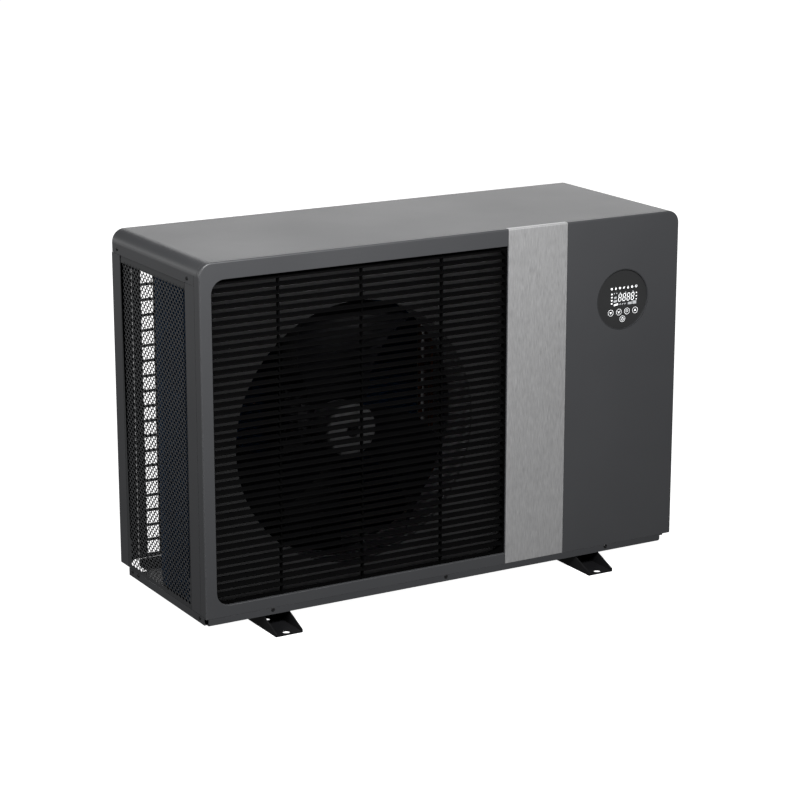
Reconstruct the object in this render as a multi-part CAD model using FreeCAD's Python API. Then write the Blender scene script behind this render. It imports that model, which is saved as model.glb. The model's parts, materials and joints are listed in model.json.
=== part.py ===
import FreeCAD, Part
import math
import os
from FreeCAD import Vector

# Pool heat pump unit with a sideways air outlet, in millimetres.
# While it is built, X runs to the right from the casing's left face, Y runs back from its front face
# and Z runs up from the ground. At the end everything moves so that the origin is the middle of the
# whole footprint, on the ground.

# ---------------------------------------------------------------- driving dimensions

casing_width = 1000.0
casing_depth = 364.0
casing_top = 675.0
pan_bottom = 27.0
sheet = 1.2
seam = 0.8
gap = 0.3
corner_radius = 24.0
bend_radius = 3.0

pan_floor_top = pan_bottom + sheet
front_panel_bottom = pan_bottom + 12.5
side_panel_bottom = pan_bottom + 15.0
side_panel_top = casing_top - 42.5
arc_start = casing_top - corner_radius
front_return_top = 10.0
front_return_side = 20.5
panels_front = front_return_side + seam
rear_inside = casing_depth - sheet
right_inside = casing_width - sheet
cover_inside = casing_top - sheet

window_left = 22.5
window_bottom = 59.4
window_top = 643.5
window_radius = 25.0
window_edge_radius = 1.0
window_rim_depth = 6.0
strip_left = 620.0
strip_width = 128.0
strip_sheet = 1.0
strip_right = strip_left + strip_width
strip_recess = strip_sheet + gap

fan_x = 321.0
fan_z = 328.7
mouth_radius = 242.0
shroud_front = 30.8
shroud_back = 122.0
blade_tip_radius = 233.0
hub_radius = 50.0
hub_front = 45.0
hub_back = 112.0
shaft_radius = 6.0
shaft_fit = 0.05
motor_front = 126.0
motor_back = 196.0
bracket_front = 202.0

slat_count = 40
slat_pitch = 14.4
rib_spacing = 165.0

coil_outer_offset = 14.0
coil_thickness = 38.0
coil_bend_radius = 177.0
coil_front = 56.0
coil_right = 612.0
coil_bottom = pan_floor_top + 12.0
coil_top = 640.0
tube_radius = 4.0
tube_pitch = 25.0
tube_rows = 24
tube_bottom = 48.0

guard_hole_width = 24.5
guard_hole_height = 23.4
guard_pitch = 28.8
guard_columns = 20
guard_rows = 20
guard_first_x = 54.5
guard_first_z = 50.3

rail_width = 53.5
rail_sheet = 2.0
rail_overhang = 43.5
rail_left_x = 114.6
rail_right_x = 780.8

partition_x = 641.0
compressor_x = 745.0
compressor_y = 130.0
compressor_radius = 60.0
refrigerant_y = 240.0
pipe_radius = 6.0
exchanger_x = 870.0
exchanger_y = 245.0
exchanger_radius = 75.0
inlet_z = 110.0
outlet_z = 320.0
tail_end = casing_width + 46.0

display_x = 874.8
display_z = 517.0
display_radius = 58.5
key_radius = 6.6
key_travel = 0.8

x_axis = Vector(1, 0, 0)
y_axis = Vector(0, 1, 0)
z_axis = Vector(0, 0, 1)


# ---------------------------------------------------------------- small helpers

def block(x0, x1, y0, y1, z0, z1):
    """A box between two corners."""
    return Part.makeBox(x1 - x0, y1 - y0, z1 - z0, Vector(x0, y0, z0))


def rod(radius, start, end):
    """A solid cylinder from one point to another."""
    start = Vector(*start)
    along = Vector(*end) - start
    return Part.makeCylinder(radius, along.Length, start, along)


def joined(shapes):
    """One solid made of touching or crossing shapes."""
    shapes = list(shapes)
    return shapes[0].fuse(shapes[1:]).removeSplitter()


def prism(points, direction):
    """A flat polygon swept along a direction."""
    corners = [Vector(*point) for point in points]
    return Part.Face(Part.makePolygon(corners + corners[:1])).extrude(Vector(*direction))


def hexagon(radius, centre, direction, spin=0.0):
    """The outline of a hexagon across the given direction; radius is to its corners."""
    centre = Vector(*centre)
    direction = Vector(*direction)
    turn = FreeCAD.Rotation(z_axis, direction)
    corners = []
    for step in range(6):
        angle = math.radians(60 * step + spin)
        corners.append(centre + turn.multVec(Vector(radius * math.cos(angle), radius * math.sin(angle), 0)))
    return Part.makePolygon(corners + corners[:1])


def hexagon_prism(radius, centre, direction, spin=0.0):
    """A hexagonal bar that starts at centre and runs along direction."""
    return Part.Face(hexagon(radius, centre, direction, spin)).extrude(Vector(*direction))


def bent_pipe(points, radius, bend):
    """A round bar along straight runs that are joined by arcs of one radius."""
    points = [Vector(*point) for point in points]
    edges = []
    here = points[0]
    for before, corner, after in zip(points, points[1:], points[2:]):
        arriving = (corner - before).normalize()
        leaving = (after - corner).normalize()
        turn = arriving.getAngle(leaving)
        trim = bend * math.tan(turn / 2)
        arc_in = corner - arriving * trim
        arc_out = corner + leaving * trim
        inward = (leaving - arriving).normalize()
        middle = corner + inward * (bend / math.cos(turn / 2) - bend)
        edges.append(Part.makeLine(here, arc_in))
        edges.append(Part.Arc(arc_in, middle, arc_out).toShape())
        here = arc_out
    edges.append(Part.makeLine(here, points[-1]))
    path = Part.Wire(edges)
    section = Part.Wire([Part.makeCircle(radius, points[0], points[1] - points[0])])
    return path.makePipeShell([section], True, True)


def turned(profile, centre, axis_end):
    """A solid of revolution; profile is a list of (radius, distance along the axis)."""
    centre = Vector(*centre)
    axis = Vector(*axis_end).normalize()
    side = x_axis if abs(axis.x) < 0.5 else z_axis
    corners = [centre + side * radius + axis * along for radius, along in profile]
    face = Part.Face(Part.makePolygon(corners + corners[:1]))
    return face.revolve(centre, axis, 360)


def softened(shape, radius, chosen):
    """Rounds every edge for which chosen(edge's bounding box) is true."""
    edges = [edge for edge in shape.Edges if chosen(edge.BoundBox)]
    return shape.makeFillet(radius, edges)


def rounded_block(x0, x1, z0, z1, y0, y1, left_radius, right_radius):
    """A block with the casing's rounded upper corners."""
    edges = []
    left_end = Vector(x0, y0, z1 - left_radius)
    right_end = Vector(x1, y0, z1 - right_radius)
    top_left = Vector(x0 + left_radius, y0, z1)
    top_right = Vector(x1 - right_radius, y0, z1)
    diagonal = math.sqrt(0.5)
    edges.append(Part.makeLine(Vector(x0, y0, z0), left_end))
    if left_radius:
        middle = Vector(x0 + left_radius * (1 - diagonal), y0, z1 - left_radius * (1 - diagonal))
        edges.append(Part.Arc(left_end, middle, top_left).toShape())
    edges.append(Part.makeLine(top_left, top_right))
    if right_radius:
        middle = Vector(x1 - right_radius * (1 - diagonal), y0, z1 - right_radius * (1 - diagonal))
        edges.append(Part.Arc(top_right, middle, right_end).toShape())
    edges.append(Part.makeLine(right_end, Vector(x1, y0, z0)))
    edges.append(Part.makeLine(Vector(x1, y0, z0), Vector(x0, y0, z0)))
    return Part.Face(Part.Wire(edges)).extrude(Vector(0, y1 - y0, 0))


def rounded_window(x0, x1, z0, z1, y0, y1, radius):
    """A bar with four rounded corners, used to cut or to frame the outlet."""
    bar = block(x0, x1, y0, y1, z0, z1)
    return softened(bar, radius, lambda box: box.YLength > 0.5 * (y1 - y0))


# ---------------------------------------------------------------- screws

screw_head_radius = 3.6
screw_head_height = 1.6
screw_shank_radius = 1.9
screw_shank_length = 7.0
screw_hole_radius = 2.3
screw_head_rounding = 0.8

lip_screw_z = 36.0
front_screws = [(x, lip_screw_z) for x in (131.5, 490.4, 847.2)]
left_screws = [(25.0, lip_screw_z), (285.5, 37.6), (311.5, 37.6), (48.0, 642.0), (340.0, 642.0)]
right_screws = [(48.0, 642.0), (320.0, 642.0), (60.0, 37.0), (300.0, 37.0)]
rear_screws = [(18.0, 642.0), (320.0, 642.0), (660.0, 642.0), (980.0, 642.0)]
rear_screws += [(60.0, 37.0), (320.0, 37.0), (660.0, 37.0), (940.0, 37.0)]
cover_ear_reach = 12.0
cover_ear_sheet = 2.0
cover_screw_offset = 66.0


def screw_places():
    """The point under each screw's head and the direction that its shank runs."""
    places = [((x, 0.0, z), (0, 1, 0)) for x, z in front_screws]
    places += [((0.0, y, z), (1, 0, 0)) for y, z in left_screws]
    places += [((casing_width, y, z), (-1, 0, 0)) for y, z in right_screws]
    places += [((x, casing_depth, z), (0, -1, 0)) for x, z in rear_screws]
    places += [((casing_width + cover_ear_sheet, wiring_y, wiring_z + end * cover_screw_offset), (-1, 0, 0))
               for end in (-1, 1)]
    return places


def make_casing_screws():
    screws = []
    for place, direction in screw_places():
        inward = Vector(*direction)
        under_head = Vector(*place)
        head = rod(screw_head_radius, under_head - inward * screw_head_height, under_head)
        top = under_head - inward * screw_head_height
        head = softened(head, screw_head_rounding,
                        lambda box: abs((Vector(box.Center) - top).dot(inward)) < 0.01
                        and box.DiagonalLength > screw_head_radius)
        shank = rod(screw_shank_radius, under_head, under_head + inward * screw_shank_length)
        screws.append(joined([head, shank]))
    return Part.makeCompound(screws)


def with_screw_holes(shape):
    """Cuts the clearance holes of the casing screws that reach the shape."""
    for place, direction in screw_places():
        inward = Vector(*direction)
        start = Vector(*place) - inward
        hole = rod(screw_hole_radius, start, start + inward * (screw_shank_length + 2))
        if shape.BoundBox.intersect(hole.BoundBox):
            shape = shape.cut(hole)
    return shape


# ---------------------------------------------------------------- base

pan_lip_left = 5.0
pan_lip_right = 975.0
pan_lip_corner = 4.0
pan_side_front = 7.6
pan_side_back = 327.0
pan_notch = 25.0
rear_notch = 37.0
drain_x = 470.0
drain_y = 180.0
drain_radius = 15.0
rail_bolt_y = (40.0, casing_depth - 30.0)
bolt_radius = 3.0
bolt_head_corner = 5.6
bolt_head_height = 4.0
bolt_nut_height = 5.0
compressor_lobe_radius = 85.0
stud_radius = 5.0


def rail_bolt_places():
    inset = rail_sheet + 7.0
    return [(x, y) for left in (rail_left_x, rail_right_x)
            for x in (left + inset, left + rail_width - inset) for y in rail_bolt_y]


def make_base_pan():
    side_top = side_panel_bottom - seam
    floor = block(0, casing_width, 0, casing_depth, pan_bottom, pan_floor_top)
    notches = [
        block(-1, pan_lip_left, -1, pan_side_front, 0, 100),
        block(pan_lip_right - pan_lip_corner, casing_width + 1, -1, pan_notch, 0, 100),
        block(-1, rear_notch, pan_side_back, casing_depth + 1, 0, 100),
        block(casing_width - rear_notch, casing_width + 1, pan_side_back, casing_depth + 1, 0, 100),
    ]
    floor = floor.cut(notches)
    lip = block(pan_lip_left, pan_lip_right, 0, sheet, pan_bottom, front_panel_bottom - 0.5)
    lip = softened(lip, pan_lip_corner, lambda box: box.XMin > pan_lip_right - 0.1
                   and box.ZMax < pan_bottom + 0.1 and box.YLength > 1)
    left = block(0, sheet, pan_side_front, pan_side_back, pan_bottom, side_top)
    right = block(right_inside, casing_width, pan_notch, pan_side_back, pan_bottom, side_top)
    back = block(rear_notch, casing_width - rear_notch, rear_inside, casing_depth, pan_bottom, side_top)
    pan = joined([floor, lip, left, right, back])
    holes = [rod(drain_radius, (drain_x, drain_y, 0), (drain_x, drain_y, 50))]
    for x, y in rail_bolt_places():
        holes.append(rod(bolt_radius + gap, (x, y, 0), (x, y, 50)))
    return with_screw_holes(pan.cut(holes))


rail_front_height = 6.0
rail_slope_end = 10.0
rail_flange = 14.0
anchor_hole_radius = 7.0
anchor_hole_y = (-31.0, 46.0, casing_depth - 46.0, casing_depth + 31.0)


def make_foot_rail(left):
    right = left + rail_width
    front = -rail_overhang
    back = casing_depth + rail_overhang
    outline = [(front, 0), (front, rail_front_height), (rail_slope_end, pan_bottom),
               (casing_depth - rail_slope_end, pan_bottom), (back, rail_front_height), (back, 0)]
    webs = [prism([(x, y, z) for y, z in outline], (rail_sheet, 0, 0)) for x in (left, right - rail_sheet)]
    floor = block(left, right, front, back, 0, rail_sheet)
    flange_y = (rail_slope_end + 4, casing_depth - rail_slope_end - 4)
    flanges = [block(left, left + rail_flange, *flange_y, pan_bottom - rail_sheet, pan_bottom),
               block(right - rail_flange, right, *flange_y, pan_bottom - rail_sheet, pan_bottom)]
    rail = joined(webs + [floor] + flanges)
    middle = left + rail_width / 2
    holes = [rod(anchor_hole_radius, (middle, y, -1), (middle, y, rail_sheet + 1)) for y in anchor_hole_y]
    for x, y in rail_bolt_places():
        if left < x < right:
            holes.append(rod(bolt_radius + gap, (x, y, 10), (x, y, 50)))
    return rail.cut(holes)


def bolt_with_nut(under_head, under_nut, end, along):
    """An M6 hexagon bolt with its nut; along points from the head to the nut."""
    under_head = Vector(*under_head)
    along = Vector(*along)
    head = hexagon_prism(bolt_head_corner, under_head - along * bolt_head_height, along * bolt_head_height)
    shank = rod(bolt_radius, under_head, end)
    nut = hexagon_prism(bolt_head_corner, under_nut, along * bolt_nut_height)
    return joined([head, shank, nut])


def make_rail_bolts():
    """M6 bolts with their heads under the rail flanges and nuts on the pan."""
    under_flange = pan_bottom - rail_sheet
    return Part.makeCompound([
        bolt_with_nut((x, y, under_flange), (x, y, pan_floor_top), (x, y, pan_floor_top + 8), (0, 0, 1))
        for x, y in rail_bolt_places()])


# ---------------------------------------------------------------- casing shell

def make_top_cover():
    front = front_return_top + seam
    bottom = side_panel_top + seam
    outer = rounded_block(0, casing_width, bottom, casing_top, front, casing_depth,
                          corner_radius, corner_radius)
    outer = softened(outer, bend_radius,
                     lambda box: box.YMin > casing_depth - 0.01 and box.ZMax > bottom + 0.01)
    inner = rounded_block(sheet, right_inside, bottom - 1, cover_inside, front - 1, rear_inside,
                          corner_radius - sheet, corner_radius - sheet)
    cover = outer.cut(inner)
    setbacks = [block(-1, 2 * sheet, 0, panels_front, 0, arc_start),
                block(casing_width - 2 * sheet, casing_width + 1, 0, panels_front, 0, arc_start)]
    return with_screw_holes(cover.cut(setbacks))


def front_shell(x0, x1, face_y, z0, z1, left_radius, right_radius):
    """The outer skin of one part of the front, with its top and side edges turned back."""
    outer = rounded_block(x0, x1, z0, z1, face_y, front_return_side, left_radius, right_radius)
    outer = softened(outer, bend_radius, lambda box: box.YMax < face_y + 0.01 and box.ZMax > z0 + 0.01 and (
        box.ZMin > z1 - 0.01 or (left_radius and box.XMax < x0 + left_radius + 0.01)
        or (right_radius and box.XMin > x1 - right_radius - 0.01)))
    inner_left = x0 + sheet if left_radius else x0 - 1
    inner_right = x1 - sheet if right_radius else x1 + 1
    inner = rounded_block(inner_left, inner_right, z0 - 1, z1 - sheet, face_y + sheet, front_return_side + 1,
                          max(left_radius - sheet, 0), max(right_radius - sheet, 0))
    behind_top_return = block(-1, casing_width + 1, front_return_top, front_return_side + 1,
                              arc_start, casing_top + 1)
    return outer.cut(inner).cut(behind_top_return)


def bottom_tab(x0, x1):
    """The joggled bottom edge that slips behind the pan's front lip."""
    step = block(x0, x1, 0, 2 * sheet + gap, front_panel_bottom, front_panel_bottom + sheet)
    tab = block(x0, x1, sheet + gap, 2 * sheet + gap, pan_floor_top + 0.5, front_panel_bottom + sheet)
    return [step, tab]


def make_front_frame():
    stile_left = strip_left - gap - sheet
    left_part = front_shell(0, strip_left - gap, 0, front_panel_bottom, casing_top, corner_radius, 0)
    stile = front_shell(stile_left, strip_right + gap, strip_recess, front_panel_bottom,
                        casing_top - strip_recess, 0, 0)
    joggle = block(stile_left, strip_left - gap, 0.5, strip_recess + sheet,
                   front_panel_bottom, casing_top - 0.5)
    rim = rounded_window(window_left - sheet, stile_left + 40, window_bottom - sheet, window_top + sheet,
                         0, window_rim_depth, window_radius + sheet)
    rim = rim.common(block(0, stile_left, 0, window_rim_depth, 0, casing_top))
    opening = rounded_window(window_left, stile_left + 40, window_bottom, window_top, -1, window_rim_depth + 1,
                             window_radius)
    opening = opening.common(block(0, stile_left, -1, window_rim_depth + 1, 0, casing_top))
    frame = joined([left_part, stile, joggle, rim]).cut(opening)
    frame = softened(frame, window_edge_radius, lambda box: box.YMax < 0.001 and box.XMin > window_left - 0.1
                     and box.XMax < stile_left + 0.1 and box.ZMin > window_bottom - 0.1
                     and box.ZMax < window_top + 0.1)
    pan_clearance = block(-1, 2 * sheet, pan_side_front - seam, front_return_side + 1, 0, side_panel_bottom)
    frame = joined([frame.cut(pan_clearance)] + bottom_tab(pan_lip_left + 3, strip_left - 2))
    return with_screw_holes(frame)


def make_trim_strip():
    outer = block(strip_left, strip_right, 0, front_return_top, front_panel_bottom, casing_top)
    outer = softened(outer, bend_radius, lambda box: box.YMax < 0.01 and box.ZMin > casing_top - 0.01)
    inner = block(strip_left - 1, strip_right + 1, strip_sheet, front_return_top + 1,
                  front_panel_bottom - 1, casing_top - strip_sheet)
    return outer.cut(inner)


def make_service_panel():
    left = strip_right + gap + 0.5
    panel = front_shell(left, casing_width, 0, front_panel_bottom, casing_top, 0, corner_radius)
    edge = block(left, left + sheet, 0.5, front_return_top, front_panel_bottom, casing_top - 0.5)
    opening = rod(display_radius, (display_x, -1, display_z), (display_x, sheet + 1, display_z))
    panel = joined([panel, edge]).cut(opening)
    panel = joined([panel] + bottom_tab(left + 2, pan_lip_right - 8))
    return with_screw_holes(panel)


tab_height = 17.5
tab_overlap = 12.0


def top_tab(y0, y1):
    """A tongue on a left side panel that reaches up behind the cover's flange."""
    return block(sheet, 2 * sheet, y0, y1, side_panel_top - tab_overlap, side_panel_top + tab_height)


left_post_back = 57.6
rear_post_front = 329.4


def make_front_left_post():
    side = block(0, sheet, panels_front, left_post_back, side_panel_bottom, side_panel_top)
    inner = block(sheet, 14, panels_front, panels_front + sheet, side_panel_bottom, side_panel_top)
    return with_screw_holes(joined([side, inner, top_tab(panels_front + 4, left_post_back - 2)]))


def make_rear_left_post():
    side = block(0, sheet, rear_post_front, casing_depth, side_panel_bottom, side_panel_top)
    back = block(0, rear_notch - seam, rear_inside, casing_depth, side_panel_bottom, side_panel_top)
    return with_screw_holes(joined([side, back, top_tab(rear_post_front + 2, casing_depth - 14)]))


side_mesh_pitch = 20.0
side_mesh_hole = 6.6
mesh_area_front = 64.5
mesh_area_back = 314.0
mesh_area_bottom = 50.0
mesh_area_top = 620.0


def make_left_mesh_panel():
    """The perforated inlet panel; its holes here are wider apart than the real sheet's."""
    y0 = left_post_back + seam
    y1 = rear_post_front - seam
    outline = [Vector(0, y0, side_panel_bottom), Vector(0, y1, side_panel_bottom),
               Vector(0, y1, side_panel_top), Vector(0, y0, side_panel_top)]
    wires = [Part.makePolygon(outline + outline[:1])]
    row_height = side_mesh_pitch * math.sqrt(0.75)
    rows = int((mesh_area_top - mesh_area_bottom - 2 * side_mesh_hole) / row_height) + 1
    columns = int((mesh_area_back - mesh_area_front - 2 * side_mesh_hole) / side_mesh_pitch)
    for row in range(rows):
        for column in range(columns):
            y = mesh_area_front + side_mesh_hole + side_mesh_pitch * (column + 0.5 * (row % 2)) + 2
            z = mesh_area_bottom + side_mesh_hole + row_height * row + 2
            wires.append(hexagon(side_mesh_hole, (0, y, z), (1, 0, 0)))
    face = Part.Face(wires[0])
    face = Part.Face([face.OuterWire] + wires[1:])
    face.validate()
    panel = face.extrude(Vector(sheet, 0, 0))
    return joined([panel, top_tab(y0 + 2, y1 - 2)])


def make_rear_guard():
    """The punched sheet behind the coil."""
    x0 = rear_notch
    x1 = partition_x - 0.4
    outline = [Vector(x0, rear_inside, side_panel_bottom), Vector(x1, rear_inside, side_panel_bottom),
               Vector(x1, rear_inside, side_panel_top), Vector(x0, rear_inside, side_panel_top)]
    wires = [Part.makePolygon(outline + outline[:1])]
    for column in range(guard_columns):
        for row in range(guard_rows):
            x = guard_first_x + column * guard_pitch
            z = guard_first_z + row * guard_pitch
            corners = [Vector(x, rear_inside, z), Vector(x + guard_hole_width, rear_inside, z),
                       Vector(x + guard_hole_width, rear_inside, z + guard_hole_height),
                       Vector(x, rear_inside, z + guard_hole_height)]
            wires.append(Part.makePolygon(corners + corners[:1]))
    face = Part.Face(wires)
    face.validate()
    return face.extrude(Vector(0, sheet, 0))


side_panel_back = 339.4
pipe_hole_radius = 33.0
wire_hole_radius = 12.0
wiring_y = 130.0
wiring_z = 390.0


def make_rear_service_panel():
    back = block(partition_x + 0.4, casing_width, rear_inside, casing_depth,
                 side_panel_bottom, side_panel_top)
    side = block(right_inside, casing_width, side_panel_back + seam, casing_depth,
                 side_panel_bottom, side_panel_top)
    return joined([back, side])


def make_right_side_panel():
    panel = block(right_inside, casing_width, panels_front, side_panel_back,
                  side_panel_bottom, side_panel_top)
    tab = block(right_inside - sheet, right_inside, panels_front + 4, side_panel_back - 2.4,
                side_panel_top - tab_overlap, side_panel_top + tab_height)
    panel = joined([panel, tab])
    holes = [rod(pipe_hole_radius, (right_inside - 5, exchanger_y, z), (casing_width + 1, exchanger_y, z))
             for z in (inlet_z, outlet_z)]
    wire_z = wiring_z + 40
    holes.append(rod(wire_hole_radius, (right_inside - 5, wiring_y, wire_z),
                     (casing_width + 1, wiring_y, wire_z)))
    return with_screw_holes(panel.cut(holes))


def make_partition_wall():
    """The wall between the fan's side and the compressor's, with holes for the gas and liquid pipes."""
    wall = block(partition_x, partition_x + sheet, 34, rear_inside - gap, pan_floor_top, cover_inside - gap)
    foot = block(partition_x, partition_x + 16, 115, 200, pan_floor_top, pan_floor_top + sheet)
    holes = [rod(9, (partition_x - 1, y, z), (partition_x + 20, y, z))
             for y, z in ((341, gas_pipe_z), (expansion_y, expansion_z))]
    return joined([wall, foot]).cut(holes)


# ---------------------------------------------------------------- outlet grille

grille_front = 6.3
grille_back = 18.3
slat_depth = 11.0
slat_thickness = 2.5
slat_tilt = 30.0
rib_thickness = 3.0
grille_left = 12.0
grille_right = 632.0
grille_bottom = 48.0
grille_top = 655.0
grille_rim = 14.0


def make_fan_grille():
    """A moulded frame with tilted slats across it and three upright ribs behind their front edges."""
    ring = rounded_window(grille_left, grille_right, grille_bottom, grille_top, grille_front, grille_back, 30)
    opening = rounded_window(grille_left + grille_rim, grille_right - grille_rim, grille_bottom + grille_rim,
                             grille_top - grille_rim, grille_front - 1, grille_back + 1, 22)
    pieces = [ring.cut(opening)]
    slat_left = grille_left + grille_rim - 4
    slat_right = grille_right - grille_rim + 4
    tilt = math.radians(slat_tilt)
    along = Vector(0, math.cos(tilt), math.sin(tilt)) * slat_depth
    across = Vector(0, -math.sin(tilt), math.cos(tilt)) * slat_thickness
    middle = (window_bottom + window_top) / 2
    first = middle - slat_pitch * (slat_count - 1) / 2
    for index in range(slat_count):
        start = Vector(slat_left, grille_front + 1.5, first + slat_pitch * index - 0.5 * along.z)
        corners = [start, start + along, start + along + across, start + across]
        pieces.append(prism(corners, (slat_right - slat_left, 0, 0)))
    for step in (-1, 0, 1):
        x = fan_x + step * rib_spacing
        pieces.append(block(x - rib_thickness / 2, x + rib_thickness / 2, grille_front + 3, grille_back,
                            grille_bottom + grille_rim / 2, grille_top - grille_rim / 2))
    return joined(pieces)


# ---------------------------------------------------------------- fan

def make_fan_shroud():
    plate = rounded_block(3, partition_x - 0.4, pan_floor_top, cover_inside - gap,
                          shroud_front, shroud_front + sheet, corner_radius - 2, 0)
    plate = plate.cut(rod(mouth_radius + 0.5, (fan_x, 0, fan_z), (fan_x, 60, fan_z)))
    depth = shroud_back - shroud_front
    profile = [(mouth_radius, 0), (mouth_radius, depth - 12), (mouth_radius + 3, depth - 5),
               (mouth_radius + 10, depth), (mouth_radius + 11, depth - 1), (mouth_radius + 4.2, depth - 6),
               (mouth_radius + sheet, depth - 12.5), (mouth_radius + sheet, 0)]
    mouth = turned(profile, (fan_x, shroud_front, fan_z), (0, 1, 0))
    return joined([plate, mouth])


blade_count = 3
blade_sections = 5
blade_first_angle = 20.0
blade_root_radius = hub_radius - 6.0
blade_outer_radius = blade_tip_radius + 8.0
blade_root_chord = 95.0
blade_tip_chord = 205.0
blade_root_pitch = 38.0
blade_tip_pitch = 18.0
blade_sweep = -26.0
blade_camber = 0.07
blade_root_thickness = 4.0
blade_tip_thickness = 2.4


def between(root, tip, fraction):
    return root + (tip - root) * fraction


def blade_section(fraction):
    """One closed outline across the blade, fraction of the way from its root to its tip."""
    radius = between(blade_root_radius, blade_outer_radius, fraction)
    chord = between(blade_root_chord, blade_tip_chord, fraction)
    pitch_angle = math.radians(between(blade_root_pitch, blade_tip_pitch, fraction))
    sweep = math.radians(blade_sweep * fraction * fraction)
    camber = blade_camber * chord
    thickness = between(blade_root_thickness, blade_tip_thickness, fraction)
    middle_y = (hub_front + hub_back) / 2
    outward = Vector(math.cos(sweep), 0, math.sin(sweep))
    around = Vector(-math.sin(sweep), 0, math.cos(sweep))
    centre = Vector(fan_x, middle_y, fan_z) + outward * radius
    chord_way = around * math.cos(pitch_angle) + y_axis * math.sin(pitch_angle)
    normal_way = y_axis * math.cos(pitch_angle) - around * math.sin(pitch_angle)

    def place(along, lift):
        return centre + chord_way * along + normal_way * lift

    upper = Part.Arc(place(-chord / 2, 0), place(0, camber + thickness / 2), place(chord / 2, 0))
    lower = Part.Arc(place(chord / 2, -thickness * 0.5), place(0, camber - thickness / 2),
                     place(-chord / 2, -thickness * 0.5))
    edges = [upper.toShape(), Part.makeLine(upper.EndPoint, lower.StartPoint), lower.toShape(),
             Part.makeLine(lower.EndPoint, upper.StartPoint)]
    return Part.Wire(edges)


def make_fan_impeller():
    axis_start = (fan_x, hub_front, fan_z)
    depth = hub_back - hub_front
    cup = [(0, 3), (13, 3), (13, 0), (hub_radius - 9, 0), (hub_radius - 2.6, 2.6), (hub_radius, 9),
           (hub_radius, depth), (hub_radius - 3, depth), (hub_radius - 3, 9), (14, 9), (14, depth),
           (0, depth)]
    hub = turned(cup, axis_start, (0, 1, 0))
    wires = [blade_section(step / (blade_sections - 1)) for step in range(blade_sections)]
    blade = Part.makeLoft(wires, True, False)
    reach = rod(blade_tip_radius, (fan_x, 0, fan_z), (fan_x, 200, fan_z))
    core = rod(hub_radius - 2, (fan_x, 0, fan_z), (fan_x, 200, fan_z))
    blade = blade.common(reach).cut(core)
    pieces = [hub]
    for index in range(blade_count):
        turned_blade = blade.copy()
        turned_blade.rotate(Vector(fan_x, 0, fan_z), y_axis, 360 * index / blade_count + blade_first_angle)
        pieces.append(turned_blade)
    impeller = joined(pieces)
    bore = rod(shaft_radius + shaft_fit, (fan_x, 0, fan_z), (fan_x, 200, fan_z))
    return impeller.cut(bore)


def make_fan_hub_nut():
    nut = hexagon_prism(10.5, (fan_x, hub_front - 5, fan_z), (0, 8, 0))
    washer = rod(12.5, (fan_x, hub_front + 2, fan_z), (fan_x, hub_front + 3, fan_z))
    bore = rod(shaft_radius + shaft_fit, (fan_x, 0, fan_z), (fan_x, 200, fan_z))
    return joined([nut, washer]).cut(bore)


def make_motor_shaft():
    shaft = rod(shaft_radius, (fan_x, hub_front - 8, fan_z), (fan_x, motor_back - 1, fan_z))
    return softened(shaft, 0.8, lambda box: box.YMax < hub_front - 7.9)


motor_radius = 62.0
motor_flange_half = 58.0
motor_bolt_offset = 48.0
bolt_seat_radius = 8.0


def motor_bolt_places():
    return [(fan_x + side * motor_bolt_offset, fan_z + end * motor_bolt_offset)
            for side in (-1, 1) for end in (-1, 1)]


def make_fan_motor():
    length = motor_back - motor_front
    can = [(0, 0), (20, 0), (20, 6), (motor_radius - 10, 6), (motor_radius, 16), (motor_radius, length - 4),
           (motor_radius - 4, length), (0, length)]
    body = turned(can, (fan_x, motor_front, fan_z), (0, 1, 0))
    half = motor_flange_half
    flange = block(fan_x - half, fan_x + half, motor_back, bracket_front, fan_z - half, fan_z + half)
    flange = softened(flange, 10, lambda box: box.YLength > 5)
    motor = joined([body, flange])
    holes = [rod(bolt_radius + gap, (x, motor_back - 9, z), (x, bracket_front + 1, z))
             for x, z in motor_bolt_places()]
    seats = [rod(bolt_seat_radius, (x, motor_back - 20, z), (x, motor_back, z))
             for x, z in motor_bolt_places()]
    bore = rod(shaft_radius + gap, (fan_x, motor_front - 1, fan_z), (fan_x, motor_back, fan_z))
    return motor.cut(holes + seats + [bore])


bracket_half_width = 60.0
bracket_sheet = 2.0
bracket_depth = 30.0


def make_motor_bracket():
    left = fan_x - bracket_half_width
    right = fan_x + bracket_half_width
    bottom = pan_floor_top
    top = cover_inside - gap
    web = block(left, right, bracket_front, bracket_front + bracket_sheet, bottom, top)
    sides = [block(x, x + bracket_sheet, bracket_front, bracket_front + bracket_depth, bottom, top)
             for x in (left, right - bracket_sheet)]
    feet = [block(left, right, bracket_front, bracket_front + 2 * bracket_depth, z, z + bracket_sheet)
            for z in (bottom, top - bracket_sheet)]
    holes = [rod(bolt_radius + gap, (x, bracket_front - 1, z), (x, bracket_front + 5, z))
             for x, z in motor_bolt_places()]
    return joined([web] + sides + feet).cut(holes)


def make_motor_bolts():
    return Part.makeCompound([
        bolt_with_nut((x, motor_back, z), (x, bracket_front + bracket_sheet, z), (x, bracket_front + 10, z),
                      (0, 1, 0))
        for x, z in motor_bolt_places()])


# ---------------------------------------------------------------- evaporator coil

coil_inner_offset = coil_outer_offset + coil_thickness
coil_back = casing_depth - coil_outer_offset
coil_inner_y = casing_depth - coil_inner_offset
tube_offsets = (coil_outer_offset + 9.5, coil_outer_offset + 28.5)


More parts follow.
